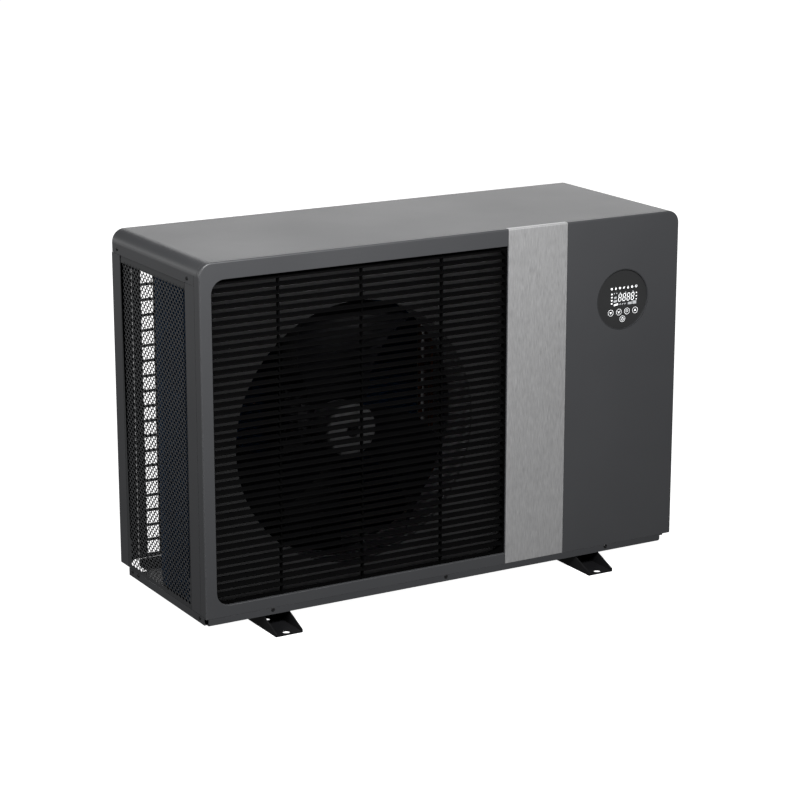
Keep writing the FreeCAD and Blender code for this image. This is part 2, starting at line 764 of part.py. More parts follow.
def make_evaporator_fins():
    """The finned pack as one L-shaped block, with a wide bend at the rear left."""
    centre_x = coil_outer_offset + coil_bend_radius
    centre_y = coil_back - coil_bend_radius
    inner_radius = coil_bend_radius - coil_thickness
    diagonal = math.sqrt(0.5)

    def on_arc(radius):
        return Vector(centre_x - radius * diagonal, centre_y + radius * diagonal, coil_bottom)

    front_outer = Vector(coil_outer_offset, coil_front, coil_bottom)
    leg_outer = Vector(coil_outer_offset, centre_y, coil_bottom)
    back_outer = Vector(centre_x, coil_back, coil_bottom)
    end_outer = Vector(coil_right, coil_back, coil_bottom)
    end_inner = Vector(coil_right, coil_inner_y, coil_bottom)
    back_inner = Vector(centre_x, coil_inner_y, coil_bottom)
    leg_inner = Vector(coil_inner_offset, centre_y, coil_bottom)
    front_inner = Vector(coil_inner_offset, coil_front, coil_bottom)
    edges = [
        Part.makeLine(front_outer, leg_outer),
        Part.Arc(leg_outer, on_arc(coil_bend_radius), back_outer).toShape(),
        Part.makeLine(back_outer, end_outer),
        Part.makeLine(end_outer, end_inner),
        Part.makeLine(end_inner, back_inner),
        Part.Arc(back_inner, on_arc(inner_radius), leg_inner).toShape(),
        Part.makeLine(leg_inner, front_inner),
        Part.makeLine(front_inner, front_outer),
    ]
    return Part.Face(Part.Wire(edges)).extrude(Vector(0, 0, coil_top - coil_bottom))


end_plate_top = coil_top + 2


def make_coil_end_plates():
    front = block(coil_outer_offset - 2, coil_inner_offset + 2, coil_front - sheet, coil_front,
                  pan_floor_top, end_plate_top)
    right = block(coil_right, coil_right + sheet, coil_inner_y - 2, coil_back + 2,
                  pan_floor_top, end_plate_top)
    return Part.makeCompound([front, right])


def hairpin(x, y, z, outward):
    """One U bend between two tube ends, one above the other."""
    start = Vector(x, y, z)
    circle = Part.Face(Part.Wire([Part.makeCircle(tube_radius, start, outward)]))
    middle = start + Vector(0, 0, tube_pitch / 2)
    turn_axis = outward.cross(z_axis)
    return circle.revolve(middle, turn_axis, 180)


def make_hairpin_bends():
    bends = []
    for pair in range(0, tube_rows, 2):
        z = tube_bottom + pair * tube_pitch
        for offset in tube_offsets:
            bends.append(hairpin(offset, coil_front - sheet, z, Vector(0, -1, 0)))
        bends.append(hairpin(coil_right + sheet, casing_depth - tube_offsets[1], z, Vector(1, 0, 0)))
    return Part.makeCompound(bends)


header_x = 627.0
header_y = casing_depth - tube_offsets[0]
header_radius = 9.0


def make_suction_header():
    pipe = rod(header_radius, (header_x, header_y, tube_bottom - 8), (header_x, header_y, coil_top - 10))
    stubs = []
    for pair in range(0, tube_rows, 2):
        z = tube_bottom + pair * tube_pitch
        stubs.append(rod(tube_radius, (coil_right + sheet, header_y, z), (header_x, header_y, z)))
    return joined([pipe] + stubs)


distributor_y = 290.0
distributor_z = 130.0
feed_count = 4
feed_spacing = 110.0
feed_first_z = 210.0
feed_radius = 1.5


def make_liquid_distributor():
    """A brass cone with thin feed pipes that run up to the coil's circuits."""
    profile = [(0, 0), (7, 0), (12, 14), (12, 28), (0, 28)]
    pieces = [turned(profile, (header_x, distributor_y, distributor_z), (0, 0, 1))]
    plate_x = coil_right + sheet
    tube_y = casing_depth - tube_offsets[1] - 7.5
    for index in range(feed_count):
        height = feed_first_z + feed_spacing * index
        x = header_x - 6 + 4 * index
        y = distributor_y - 3 + 2 * (index % 2)
        route = [(x, y, distributor_z + 20), (x, y, height), (x, tube_y, height), (plate_x, tube_y, height)]
        pieces.append(bent_pipe(route, feed_radius, 3.5))
    return joined(pieces)


# ---------------------------------------------------------------- refrigerant circuit

compressor_bottom = 48.0
compressor_plate = 4.0
compressor_top = 322.0
valve_z = 390.0
valve_radius = 13.0
valve_spacing = 25.0
accumulator_bottom = 110.0
accumulator_top = 300.0
liquid_z = 66.0
gas_pipe_z = 345.0
bridge_z = 445.0
suction_elbow_z = 86.0
liquid_pipe_radius = 4.0
foot_sheet_radius = 18.0
valve_half_length = 55.0
valve_stub = 22.0
pilot_radius = 4.0
pilot_offset = 22.0
expansion_x = 690.0
expansion_y = 300.0
expansion_z = 118.0
expansion_reach = 14.0


def lobe_places():
    places = []
    for angle in (90, 210, 330):
        turn = math.radians(angle)
        places.append((compressor_x + compressor_lobe_radius * math.cos(turn),
                       compressor_y + compressor_lobe_radius * math.sin(turn), turn))
    return places


def make_compressor():
    height = compressor_top - compressor_bottom - compressor_plate
    shell = [(0, 0), (38, 0), (compressor_radius - 6, 8), (compressor_radius, 24),
             (compressor_radius, height - 30), (compressor_radius - 7, height - 12), (30, height), (0, height)]
    base_z = compressor_bottom + compressor_plate
    pieces = [turned(shell, (compressor_x, compressor_y, base_z), (0, 0, 1))]
    pieces.append(rod(compressor_radius - 4, (compressor_x, compressor_y, compressor_bottom),
                      (compressor_x, compressor_y, base_z)))
    holes = []
    for x, y, turn in lobe_places():
        arm = block(0, compressor_lobe_radius, -foot_sheet_radius, foot_sheet_radius,
                    compressor_bottom, base_z)
        arm.rotate(Vector(0, 0, 0), z_axis, math.degrees(turn))
        arm.translate(Vector(compressor_x, compressor_y, 0))
        pieces.append(arm)
        pieces.append(rod(foot_sheet_radius, (x, y, compressor_bottom), (x, y, base_z)))
        holes.append(rod(stud_radius + 1, (x, y, compressor_bottom - 1), (x, y, base_z + 1)))
    stub = rod(pipe_radius + 2, (compressor_x, compressor_y, compressor_top - 2),
               (compressor_x, compressor_y, compressor_top + 8))
    pieces.append(stub)
    return joined(pieces).cut(holes)


def make_compressor_mounts():
    mounts = []
    height = compressor_bottom - pan_floor_top - 0.2
    bore = stud_radius + 0.4
    profile = [(bore, 0), (17, 0), (14, 6), (14, 12), (17, height), (bore, height)]
    for x, y, turn in lobe_places():
        mounts.append(turned(profile, (x, y, pan_floor_top), (0, 0, 1)))
    return Part.makeCompound(mounts)


def make_compressor_bolts():
    bolts = []
    base_z = compressor_bottom + compressor_plate
    for x, y, turn in lobe_places():
        stud = rod(stud_radius, (x, y, pan_floor_top), (x, y, base_z + 12))
        washer = rod(12, (x, y, base_z + gap), (x, y, base_z + gap + 1.6))
        nut = hexagon_prism(8.6, (x, y, base_z + gap + 1.6), (0, 0, 7))
        bolts.append(joined([stud, washer, nut]))
    return Part.makeCompound(bolts)


def make_terminal_cover():
    cover = block(compressor_x + 46, compressor_x + 78, compressor_y - 24, compressor_y + 24, 225, 285)
    cover = softened(cover, 6, lambda box: box.XMin > compressor_x + 77.9)
    clear = rod(compressor_radius + gap, (compressor_x, compressor_y, 200), (compressor_x, compressor_y, 300))
    return cover.cut(clear)


def make_accumulator():
    height = accumulator_top - accumulator_bottom
    profile = [(0, 0), (12, 0), (24, 6), (28, 18), (28, height - 18), (24, height - 6), (12, height),
               (0, height)]
    return turned(profile, (compressor_x, refrigerant_y, accumulator_bottom), (0, 0, 1))


def make_suction_pipes():
    down = rod(pipe_radius, (compressor_x, refrigerant_y, accumulator_top),
               (compressor_x, refrigerant_y, valve_z - valve_stub))
    elbow = bent_pipe([(compressor_x, refrigerant_y, accumulator_bottom),
                       (compressor_x, refrigerant_y, suction_elbow_z),
                       (compressor_x, compressor_y + compressor_radius, suction_elbow_z)], pipe_radius, 16)
    return Part.makeCompound([down, elbow])


def make_four_way_valve():
    """The reversing valve: a body with one stub above and three below, and its pilot tube behind."""
    body = rod(valve_radius, (compressor_x - valve_half_length, refrigerant_y, valve_z),
               (compressor_x + valve_half_length, refrigerant_y, valve_z))
    body = softened(body, 4, lambda box: box.XLength < 0.1 and box.YLength > 20)
    stubs = [rod(pipe_radius + 1.5, (compressor_x, refrigerant_y, valve_z),
                 (compressor_x, refrigerant_y, valve_z + valve_stub))]
    for step in (-1, 0, 1):
        x = compressor_x + step * valve_spacing
        stubs.append(rod(pipe_radius + 1.5, (x, refrigerant_y, valve_z - valve_stub),
                         (x, refrigerant_y, valve_z)))
    pilot_y = refrigerant_y + pilot_offset
    pilot = rod(pilot_radius, (compressor_x - 30, pilot_y, valve_z), (compressor_x + 30, pilot_y, valve_z))
    bridge = block(compressor_x - 4, compressor_x + 4, refrigerant_y + 5, pilot_y, valve_z - 3, valve_z + 3)
    return joined([body, pilot, bridge] + stubs)


def make_reversing_coil():
    x = compressor_x + 21
    pilot_y = refrigerant_y + pilot_offset
    can = block(x - 12, x + 12, refrigerant_y + 14, refrigerant_y + 42, valve_z - 18, valve_z + 18)
    can = softened(can, 4, lambda box: box.ZLength > 30)
    return can.cut(rod(pilot_radius + gap, (x - 20, pilot_y, valve_z), (x + 20, pilot_y, valve_z)))


def make_gas_pipes():
    """From the compressor to the valve, and from there to the heat exchanger and to the coil's header."""
    discharge = bent_pipe([(compressor_x, compressor_y, compressor_top + 8),
                           (compressor_x, compressor_y, bridge_z),
                           (compressor_x, refrigerant_y, bridge_z),
                           (compressor_x, refrigerant_y, valve_z + valve_stub)], pipe_radius, 22)
    right_x = compressor_x + valve_spacing
    left_x = compressor_x - valve_spacing
    top = valve_z - valve_stub
    to_exchanger = bent_pipe([(right_x, refrigerant_y, top), (right_x, refrigerant_y, gas_pipe_z),
                              (exchanger_stub_x, refrigerant_y, gas_pipe_z)], pipe_radius, 9)
    to_coil = bent_pipe([(left_x, refrigerant_y, top), (left_x, refrigerant_y, gas_pipe_z),
                         (left_x, header_y, gas_pipe_z),
                         (header_x + header_radius, header_y, gas_pipe_z)], pipe_radius, 12)
    return Part.makeCompound([discharge, to_exchanger, to_coil])


def make_expansion_valve():
    profile = [(0, 0), (9, 0), (9, 30), (5, 30), (5, 34), (16, 34), (16, 70), (0, 70)]
    body = turned(profile, (expansion_x, expansion_y, expansion_z - expansion_reach), (0, 0, 1))
    arm = rod(6, (expansion_x - 12, expansion_y, expansion_z), (expansion_x, expansion_y, expansion_z))
    return joined([body, arm])


def make_liquid_pipes():
    """From the water heat exchanger to the expansion valve, and on to the distributor."""
    bend_x = compressor_x - 30
    first = bent_pipe([(exchanger_stub_x, refrigerant_y, liquid_z), (bend_x, refrigerant_y, liquid_z),
                       (bend_x, expansion_y, liquid_z), (expansion_x, expansion_y, liquid_z),
                       (expansion_x, expansion_y, expansion_z - expansion_reach)], liquid_pipe_radius, 10)
    second = bent_pipe([(expansion_x - 12, expansion_y, expansion_z), (header_x, expansion_y, expansion_z),
                        (header_x, distributor_y, expansion_z), (header_x, distributor_y, distributor_z)],
                       liquid_pipe_radius, 4.5)
    return Part.makeCompound([first, second])


# ---------------------------------------------------------------- water circuit

exchanger_top = 372.0
exchanger_stub_x = exchanger_x - exchanger_radius - 9
tail_start = exchanger_x + exchanger_radius + 5
tail_radius = 31.0
water_bore_radius = 21.0
socket_radius = 25.1
socket_depth = 31.0
collar_radius = 35.0
nut_back = casing_width + 12.0
nut_front = casing_width + 40.0
nut_ribs = 8
neck_x = 975.0
neck_radius = 12.0
neck_bore_radius = 8.0
boss_top = inlet_z + tail_radius + 12
pivot_radius = 1.5
pivot_half_length = 10.0
paddle_pivot_z = inlet_z + 34.0
paddle_sheet = 1.2


def make_heat_exchanger():
    height = exchanger_top - pan_floor_top
    radius = exchanger_radius
    band_radius = radius + 5
    profile = [(0, 0), (radius + 8, 0), (radius + 8, 6), (radius, 9), (radius, 30), (band_radius, 32),
               (band_radius, 42), (radius, 44), (radius, height - 50), (band_radius, height - 48),
               (band_radius, height - 38), (radius, height - 36), (radius - 4, height - 18),
               (radius - 30, height - 3), (0, height)]
    body = turned(profile, (exchanger_x, exchanger_y, pan_floor_top), (0, 0, 1))
    pieces = [body]
    for z in (inlet_z, outlet_z):
        pieces.append(rod(tail_radius + 3, (exchanger_x + 40, exchanger_y, z), (tail_start, exchanger_y, z)))
    for z in (liquid_z, gas_pipe_z):
        pieces.append(rod(pipe_radius + 2, (exchanger_stub_x, refrigerant_y, z),
                          (exchanger_x - 40, refrigerant_y, z)))
    return joined(pieces)


def make_water_tail(z):
    """One water pipe through the right side, with a glue socket at its free end."""
    body = rod(tail_radius, (tail_start, exchanger_y, z), (tail_end, exchanger_y, z))
    collar = rod(collar_radius, (tail_end - 4, exchanger_y, z), (tail_end, exchanger_y, z))
    bore = rod(water_bore_radius, (tail_start - 1, exchanger_y, z), (tail_end + 1, exchanger_y, z))
    socket = rod(socket_radius, (tail_end - socket_depth, exchanger_y, z), (tail_end + 1, exchanger_y, z))
    return joined([body, collar]).cut([bore, socket])


def make_water_inlet():
    axis = (neck_x, exchanger_y)
    boss = rod(neck_radius + 6, (*axis, inlet_z + water_bore_radius + 3), (*axis, boss_top))
    port = rod(neck_radius + gap, (*axis, inlet_z), (*axis, boss_top + 1))
    return joined([make_water_tail(inlet_z), boss]).cut(port)


def make_union_nut(z):
    """A captive nut with grip ribs, free to turn on its tail."""
    radius = tail_radius + 8
    profile = [(tail_radius + 0.5, 0), (radius - 2, 0), (radius, 2), (radius, 26), (radius - 2, 28),
               (collar_radius + 0.5, 28), (collar_radius + 0.5, 24), (tail_radius + 0.5, 24)]
    nut = turned(profile, (nut_back, exchanger_y, z), (1, 0, 0))
    ribs = []
    for index in range(nut_ribs):
        rib = block(nut_back + 2, nut_front - 2, exchanger_y - 4, exchanger_y + 4,
                    z + radius - 2, z + radius + 3.5)
        rib.rotate(Vector(0, exchanger_y, z), x_axis, 360 / nut_ribs * index)
        ribs.append(rib)
    return joined([nut] + ribs)


def make_flow_switch():
    neck_bottom = inlet_z + water_bore_radius + 0.5
    neck = rod(neck_radius, (neck_x, exchanger_y, neck_bottom), (neck_x, exchanger_y, boss_top + 2))
    head = block(neck_x - 18, neck_x + 18, exchanger_y - 19, exchanger_y + 19, boss_top, boss_top + 36)
    head = softened(head, 4, lambda box: box.ZLength > 30)
    bore = rod(neck_bore_radius, (neck_x, exchanger_y, neck_bottom - 1), (neck_x, exchanger_y, boss_top + 4))
    reach = pivot_half_length + 0.2
    pivot_hole = rod(pivot_radius + 0.05, (neck_x, exchanger_y - reach, paddle_pivot_z),
                     (neck_x, exchanger_y + reach, paddle_pivot_z))
    return joined([neck, head]).cut([bore, pivot_hole])


def make_flow_paddle():
    pivot = rod(pivot_radius, (neck_x, exchanger_y - pivot_half_length, paddle_pivot_z),
                (neck_x, exchanger_y + pivot_half_length, paddle_pivot_z))
    sides = (neck_x - paddle_sheet / 2, neck_x + paddle_sheet / 2)
    lever = block(*sides, exchanger_y - 3.5, exchanger_y + 3.5, inlet_z - 10, paddle_pivot_z)
    vane = block(*sides, exchanger_y - 12, exchanger_y + 12, inlet_z - 15, inlet_z + 14)
    return joined([pivot, lever, vane])


# ---------------------------------------------------------------- electrics

box_x = (partition_x + sheet, 985.0)
box_y = (44.0, 340.0)
box_z = (482.0, 640.0)
box_wall = 1.5
board_z = 494.0
board_sheet = 1.6


def make_control_box():
    outer = block(*box_x, *box_y, *box_z)
    inner = block(box_x[0] + box_wall, box_x[1] - box_wall, box_y[0] + box_wall, box_y[1] - box_wall,
                  box_z[0] + box_wall, box_z[1] + 1)
    posts = [rod(4, (x, y, box_z[0] + 1), (x, y, board_z)) for x in (680, 960) for y in (70, 315)]
    return joined([outer.cut(inner)] + posts)


def make_control_board():
    """The board with its capacitors, relays, heat sink, choke and terminals."""
    top = board_z + board_sheet
    pieces = [block(668, 972, 58, 327, board_z, top)]
    for x in (700, 735, 770):
        pieces.append(rod(15, (x, 90, top - 0.5), (x, 90, top + 45)))
    for x in (690, 720, 750, 780):
        pieces.append(block(x, x + 20, 290, 315, top - 0.5, top + 16))
    for fin in range(8):
        y = 130 + 20 * fin
        pieces.append(block(830, 950, y, y + 3, top + 7, top + 45))
    pieces.append(block(830, 950, 130, 273, top - 0.5, top + 8))
    pieces.append(block(690, 770, 150, 230, top - 0.5, top + 38))
    pieces.append(block(840, 940, 70, 90, top - 0.5, top + 14))
    return joined(pieces)


terminal_ways = 6
terminal_pitch = 15.0


def make_terminal_block():
    half = terminal_ways * terminal_pitch / 2
    base = block(casing_width, casing_width + 16, wiring_y - half, wiring_y + half,
                 wiring_z - 22, wiring_z + 22)
    slots = []
    for index in range(terminal_ways):
        y = wiring_y - half + terminal_pitch * (index + 0.5)
        for z0 in (wiring_z - 30, wiring_z + 10):
            slots.append(block(casing_width + 6, casing_width + 20, y - 5, y + 5, z0, z0 + 20))
    return base.cut(slots)


cover_depth = 28.0
cover_half = 60.0
gland_x = casing_width + 14.0
gland_radius = 10.0
gland_bore_radius = 5.5
gland_hexagon = 12.5
gland_places = (wiring_y - 25.0, wiring_y + 25.0)


def make_wiring_cover():
    y0 = wiring_y - cover_half
    y1 = wiring_y + cover_half
    z0 = wiring_z - cover_half
    z1 = wiring_z + cover_half
    outer = block(casing_width, casing_width + cover_depth, y0, y1, z0, z1)
    outer = softened(outer, 5, lambda box: box.XMax > casing_width + cover_depth - 0.01
                     and box.XMin > casing_width + 1)
    ears = block(casing_width, casing_width + cover_ear_sheet, wiring_y - 10, wiring_y + 10,
                 z0 - cover_ear_reach, z1 + cover_ear_reach)
    inner = block(casing_width - 1, casing_width + cover_depth - 2, y0 + 2, y1 - 2, z0 + 2, z1 - 2)
    holes = [rod(gland_radius + gap, (gland_x, y, z0 - 5), (gland_x, y, z0 + 10)) for y in gland_places]
    return with_screw_holes(joined([outer, ears]).cut([inner] + holes))


def make_cable_glands():
    glands = []
    wall = wiring_z - cover_half
    for y in gland_places:
        thread = rod(gland_radius, (gland_x, y, wall - 4), (gland_x, y, wall + 8))
        locknut = hexagon_prism(gland_hexagon, (gland_x, y, wall + 2), (0, 0, 4), 30)
        collar = hexagon_prism(gland_hexagon, (gland_x, y, wall - 6), (0, 0, 6), 30)
        dome = turned([(0, 0), (7.5, 0), (11, 5), (11, 14), (0, 14)], (gland_x, y, wall - 20), (0, 0, 1))
        bore = rod(gland_bore_radius, (gland_x, y, wall - 30), (gland_x, y, wall + 20))
        glands.append(joined([thread, locknut, collar, dome]).cut(bore))
    return Part.makeCompound(glands)


# ---------------------------------------------------------------- display

lens_front = 3.0
lens_back = 5.0
board_front = 10.5
bezel_wall = 1.6
bezel_back = 15.0
bezel_flange = 6.0
ledge_width = 4.0
lens_radius = display_radius - gap - bezel_wall - 0.2
switch_front = board_front - 1.2
key_row_z = display_z - 24.2
key_spacing = 18.5
key_row_left = display_x - 25.2
key_places = {name: (key_row_left + key_spacing * index, key_row_z)
              for index, name in enumerate(("key_down", "key_left", "key_right", "key_up"))}
key_places["key_power"] = (display_x + 1.8, display_z - 38.0)


def display_disc(radius, y0, y1):
    return rod(radius, (display_x, y0, display_z), (display_x, y1, display_z))


def make_display_bezel():
    outer = display_radius - gap
    inner = outer - bezel_wall
    through = display_disc(inner, -1, bezel_back + 1)
    through_ledge = display_disc(inner - ledge_width, -1, bezel_back + 1)
    wall = display_disc(outer, 0.2, bezel_back).cut(through)
    flange = display_disc(outer + bezel_flange, sheet + 0.2, 3.2).cut(through)
    lens_ledge = display_disc(inner + 0.5, lens_back, lens_back + 1.5).cut(through_ledge)
    board_ledge = display_disc(inner + 0.5, board_front - 2, board_front).cut(through_ledge)
    return joined([wall, flange, lens_ledge, board_ledge])


def make_display_lens():
    lens = display_disc(lens_radius, lens_front, lens_back)
    holes = [rod(key_radius + gap, (x, 0, z), (x, 10, z)) for x, z in key_places.values()]
    return lens.cut(holes)


def make_display_board():
    board = display_disc(lens_radius, board_front, board_front + board_sheet)
    window = block(display_x - 28, display_x + 28, lens_back + 1.7, board_front + 0.5,
                   display_z - 12, display_z + 30)
    switches = [rod(2.2, (x, switch_front, z), (x, board_front + 0.5, z)) for x, z in key_places.values()]
    return joined([board, window] + switches)


def make_key(place):
    """A ring-marked key cap with the stem that reaches its switch."""
    x, z = place
    cap = rod(key_radius, (x, lens_front - 0.6, z), (x, lens_back + 1.0, z))
    cap = softened(cap, 0.3, lambda box: box.YMax < lens_front - 0.59 and box.XLength > key_radius)
    flange = rod(key_radius + 1, (x, lens_back + 0.1, z), (x, lens_back + 1.0, z))
    stem = rod(1.8, (x, lens_back, z), (x, switch_front - key_travel - 0.2, z))
    return joined([cap, flange, stem])


# ---------------------------------------------------------------- the whole unit

nodes = {
    "base_pan": make_base_pan(),
    "foot_rail_left": make_foot_rail(rail_left_x),
    "foot_rail_right": make_foot_rail(rail_right_x),
    "rail_bolts": make_rail_bolts(),
    "top_cover": make_top_cover(),
    "front_frame": make_front_frame(),
    "trim_strip": make_trim_strip(),
    "service_panel": make_service_panel(),
    "front_left_post": make_front_left_post(),
    "rear_left_post": make_rear_left_post(),
    "left_mesh_panel": make_left_mesh_panel(),
    "rear_guard": make_rear_guard(),
    "rear_service_panel": with_screw_holes(make_rear_service_panel()),
    "right_side_panel": make_right_side_panel(),
    "partition_wall": make_partition_wall(),
    "casing_screws": make_casing_screws(),
    "fan_grille": make_fan_grille(),
    "fan_shroud": make_fan_shroud(),
    "fan_impeller": make_fan_impeller(),
    "fan_hub_nut": make_fan_hub_nut(),
    "motor_shaft": make_motor_shaft(),
    "fan_motor": make_fan_motor(),
    "motor_bracket": make_motor_bracket(),
    "motor_bolts": make_motor_bolts(),
    "evaporator_fins": make_evaporator_fins(),
    "coil_end_plates": make_coil_end_plates(),
    "hairpin_bends": make_hairpin_bends(),
    "suction_header": make_suction_header(),
    "liquid_distributor": make_liquid_distributor(),
    "compressor": make_compressor(),
    "compressor_mounts": make_compressor_mounts(),
    "compressor_bolts": make_compressor_bolts(),
    "terminal_cover": make_terminal_cover(),
    "accumulator": make_accumulator(),
    "suction_pipes": make_suction_pipes(),
    "four_way_valve": make_four_way_valve(),
    "reversing_coil": make_reversing_coil(),
    "gas_pipes": make_gas_pipes(),
    "expansion_valve": make_expansion_valve(),
    "liquid_pipes": make_liquid_pipes(),
    "heat_exchanger": make_heat_exchanger(),
    "water_inlet": make_water_inlet(),
    "water_outlet": make_water_tail(outlet_z),
    "inlet_union_nut": make_union_nut(inlet_z),
    "outlet_union_nut": make_union_nut(outlet_z),
    "flow_switch": make_flow_switch(),
    "flow_paddle": make_flow_paddle(),
    "control_box": make_control_box(),
    "control_board": make_control_board(),
    "terminal_block": make_terminal_block(),
    "wiring_cover": make_wiring_cover(),
    "cable_glands": make_cable_glands(),
    "display_bezel": make_display_bezel(),
    "display_lens": make_display_lens(),
    "display_board": make_display_board(),
}
for name, place in key_places.items():
    nodes[name] = make_key(place)

os.makedirs("parts", exist_ok=True)
middle_x = (tail_end - screw_head_height) / 2
middle_y = casing_depth / 2
for name, shape in nodes.items():
    shape.translate(Vector(-middle_x, -middle_y, 0))
    shape.exportStep("parts/" + name + ".step")
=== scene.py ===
import json
import math
import random

import bmesh
import bpy
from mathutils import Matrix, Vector
from mathutils.geometry import tessellate_polygon


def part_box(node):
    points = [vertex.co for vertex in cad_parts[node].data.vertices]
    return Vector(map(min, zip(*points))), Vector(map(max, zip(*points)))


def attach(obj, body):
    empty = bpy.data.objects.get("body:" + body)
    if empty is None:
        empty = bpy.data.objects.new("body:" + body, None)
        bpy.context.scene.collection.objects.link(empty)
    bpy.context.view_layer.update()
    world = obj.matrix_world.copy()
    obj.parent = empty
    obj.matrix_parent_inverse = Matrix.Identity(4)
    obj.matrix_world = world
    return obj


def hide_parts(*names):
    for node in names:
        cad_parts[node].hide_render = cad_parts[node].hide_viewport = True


# The looks of the pool heat pump. Lengths in the text are millimetres measured from the casing's lower
# left front corner; at() turns them into the frame's metres.

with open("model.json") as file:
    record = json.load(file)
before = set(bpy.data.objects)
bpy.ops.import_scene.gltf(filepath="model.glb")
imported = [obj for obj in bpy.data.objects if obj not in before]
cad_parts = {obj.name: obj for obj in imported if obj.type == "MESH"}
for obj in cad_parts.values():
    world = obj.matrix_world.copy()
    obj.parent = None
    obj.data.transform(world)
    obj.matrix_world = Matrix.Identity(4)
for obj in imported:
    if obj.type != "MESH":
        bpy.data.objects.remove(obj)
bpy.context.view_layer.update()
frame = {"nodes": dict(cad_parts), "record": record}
nodes = frame["nodes"]

MM = 0.001
cover_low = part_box("top_cover")[0]
front_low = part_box("front_frame")[0]
corner = Vector((cover_low.x, front_low.y, 0.0))


def at(x, y, z):
    """A point of the frame from millimetres from the casing's corner."""
    return corner + Vector((x, y, z)) * MM


def local(point):
    """A point of the frame in millimetres from the casing's corner."""
    return (point - corner) / MM


def local_box(node):
    """The low and high corners of a CAD node's box, in millimetres from the casing's corner."""
    low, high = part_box(node)
    return local(low), local(high)


# ---------------------------------------------------------------- materials

def add_node(tree, kind, settings=None, **inputs):
    """A shader node; an underscore in an input's name stands for a space."""
    node = tree.nodes.new(kind)
    for name, value in (settings or {}).items():
        setattr(node, name, value)
    for name, value in inputs.items():
        node.inputs[name.replace("_", " ")].default_value = value
    return node


def rgba(colour):
    """A colour with full alpha."""
    return (colour[0], colour[1], colour[2], 1.0)


def mix_colour(tree, factor, under, over):
    """The socket under where factor is 0, and the plain colour over where it is 1."""
    mix = add_node(tree, "ShaderNodeMix", {"data_type": "RGBA"})
    mix.inputs["B"].default_value = rgba(over)
    tree.links.new(factor, mix.inputs["Factor"])
    tree.links.new(under, mix.inputs["A"])
    return mix.outputs["Result"]


def edge_mask(tree, radius, amount):
    """Rises from 0 on flat faces to amount on sharp edges."""
    bevel = add_node(tree, "ShaderNodeBevel", {"samples": 4}, Radius=radius)
    geometry = add_node(tree, "ShaderNodeNewGeometry")
    dot = add_node(tree, "ShaderNodeVectorMath", {"operation": "DOT_PRODUCT"})
    tree.links.new(bevel.outputs["Normal"], dot.inputs[0])
    tree.links.new(geometry.outputs["Normal"], dot.inputs[1])
    ranged = add_node(tree, "ShaderNodeMapRange", {"clamp": True}, From_Min=0.995, From_Max=0.86,
                      To_Min=0.0, To_Max=amount)
    tree.links.new(dot.outputs["Value"], ranged.inputs["Value"])
    return ranged.outputs["Result"]


# sharp edges are mixed towards a lighter colour: partly wear, partly a painted highlight standing in for the
# light on the bends
edge_wear_and_sheen_radius = 0.9 * MM
edge_wear_and_sheen_share = 0.35
# the colour of the painted shade on faces inside the unit, as dark as primer
painted_shade_primer_colour = (0.003, 0.003, 0.0035)


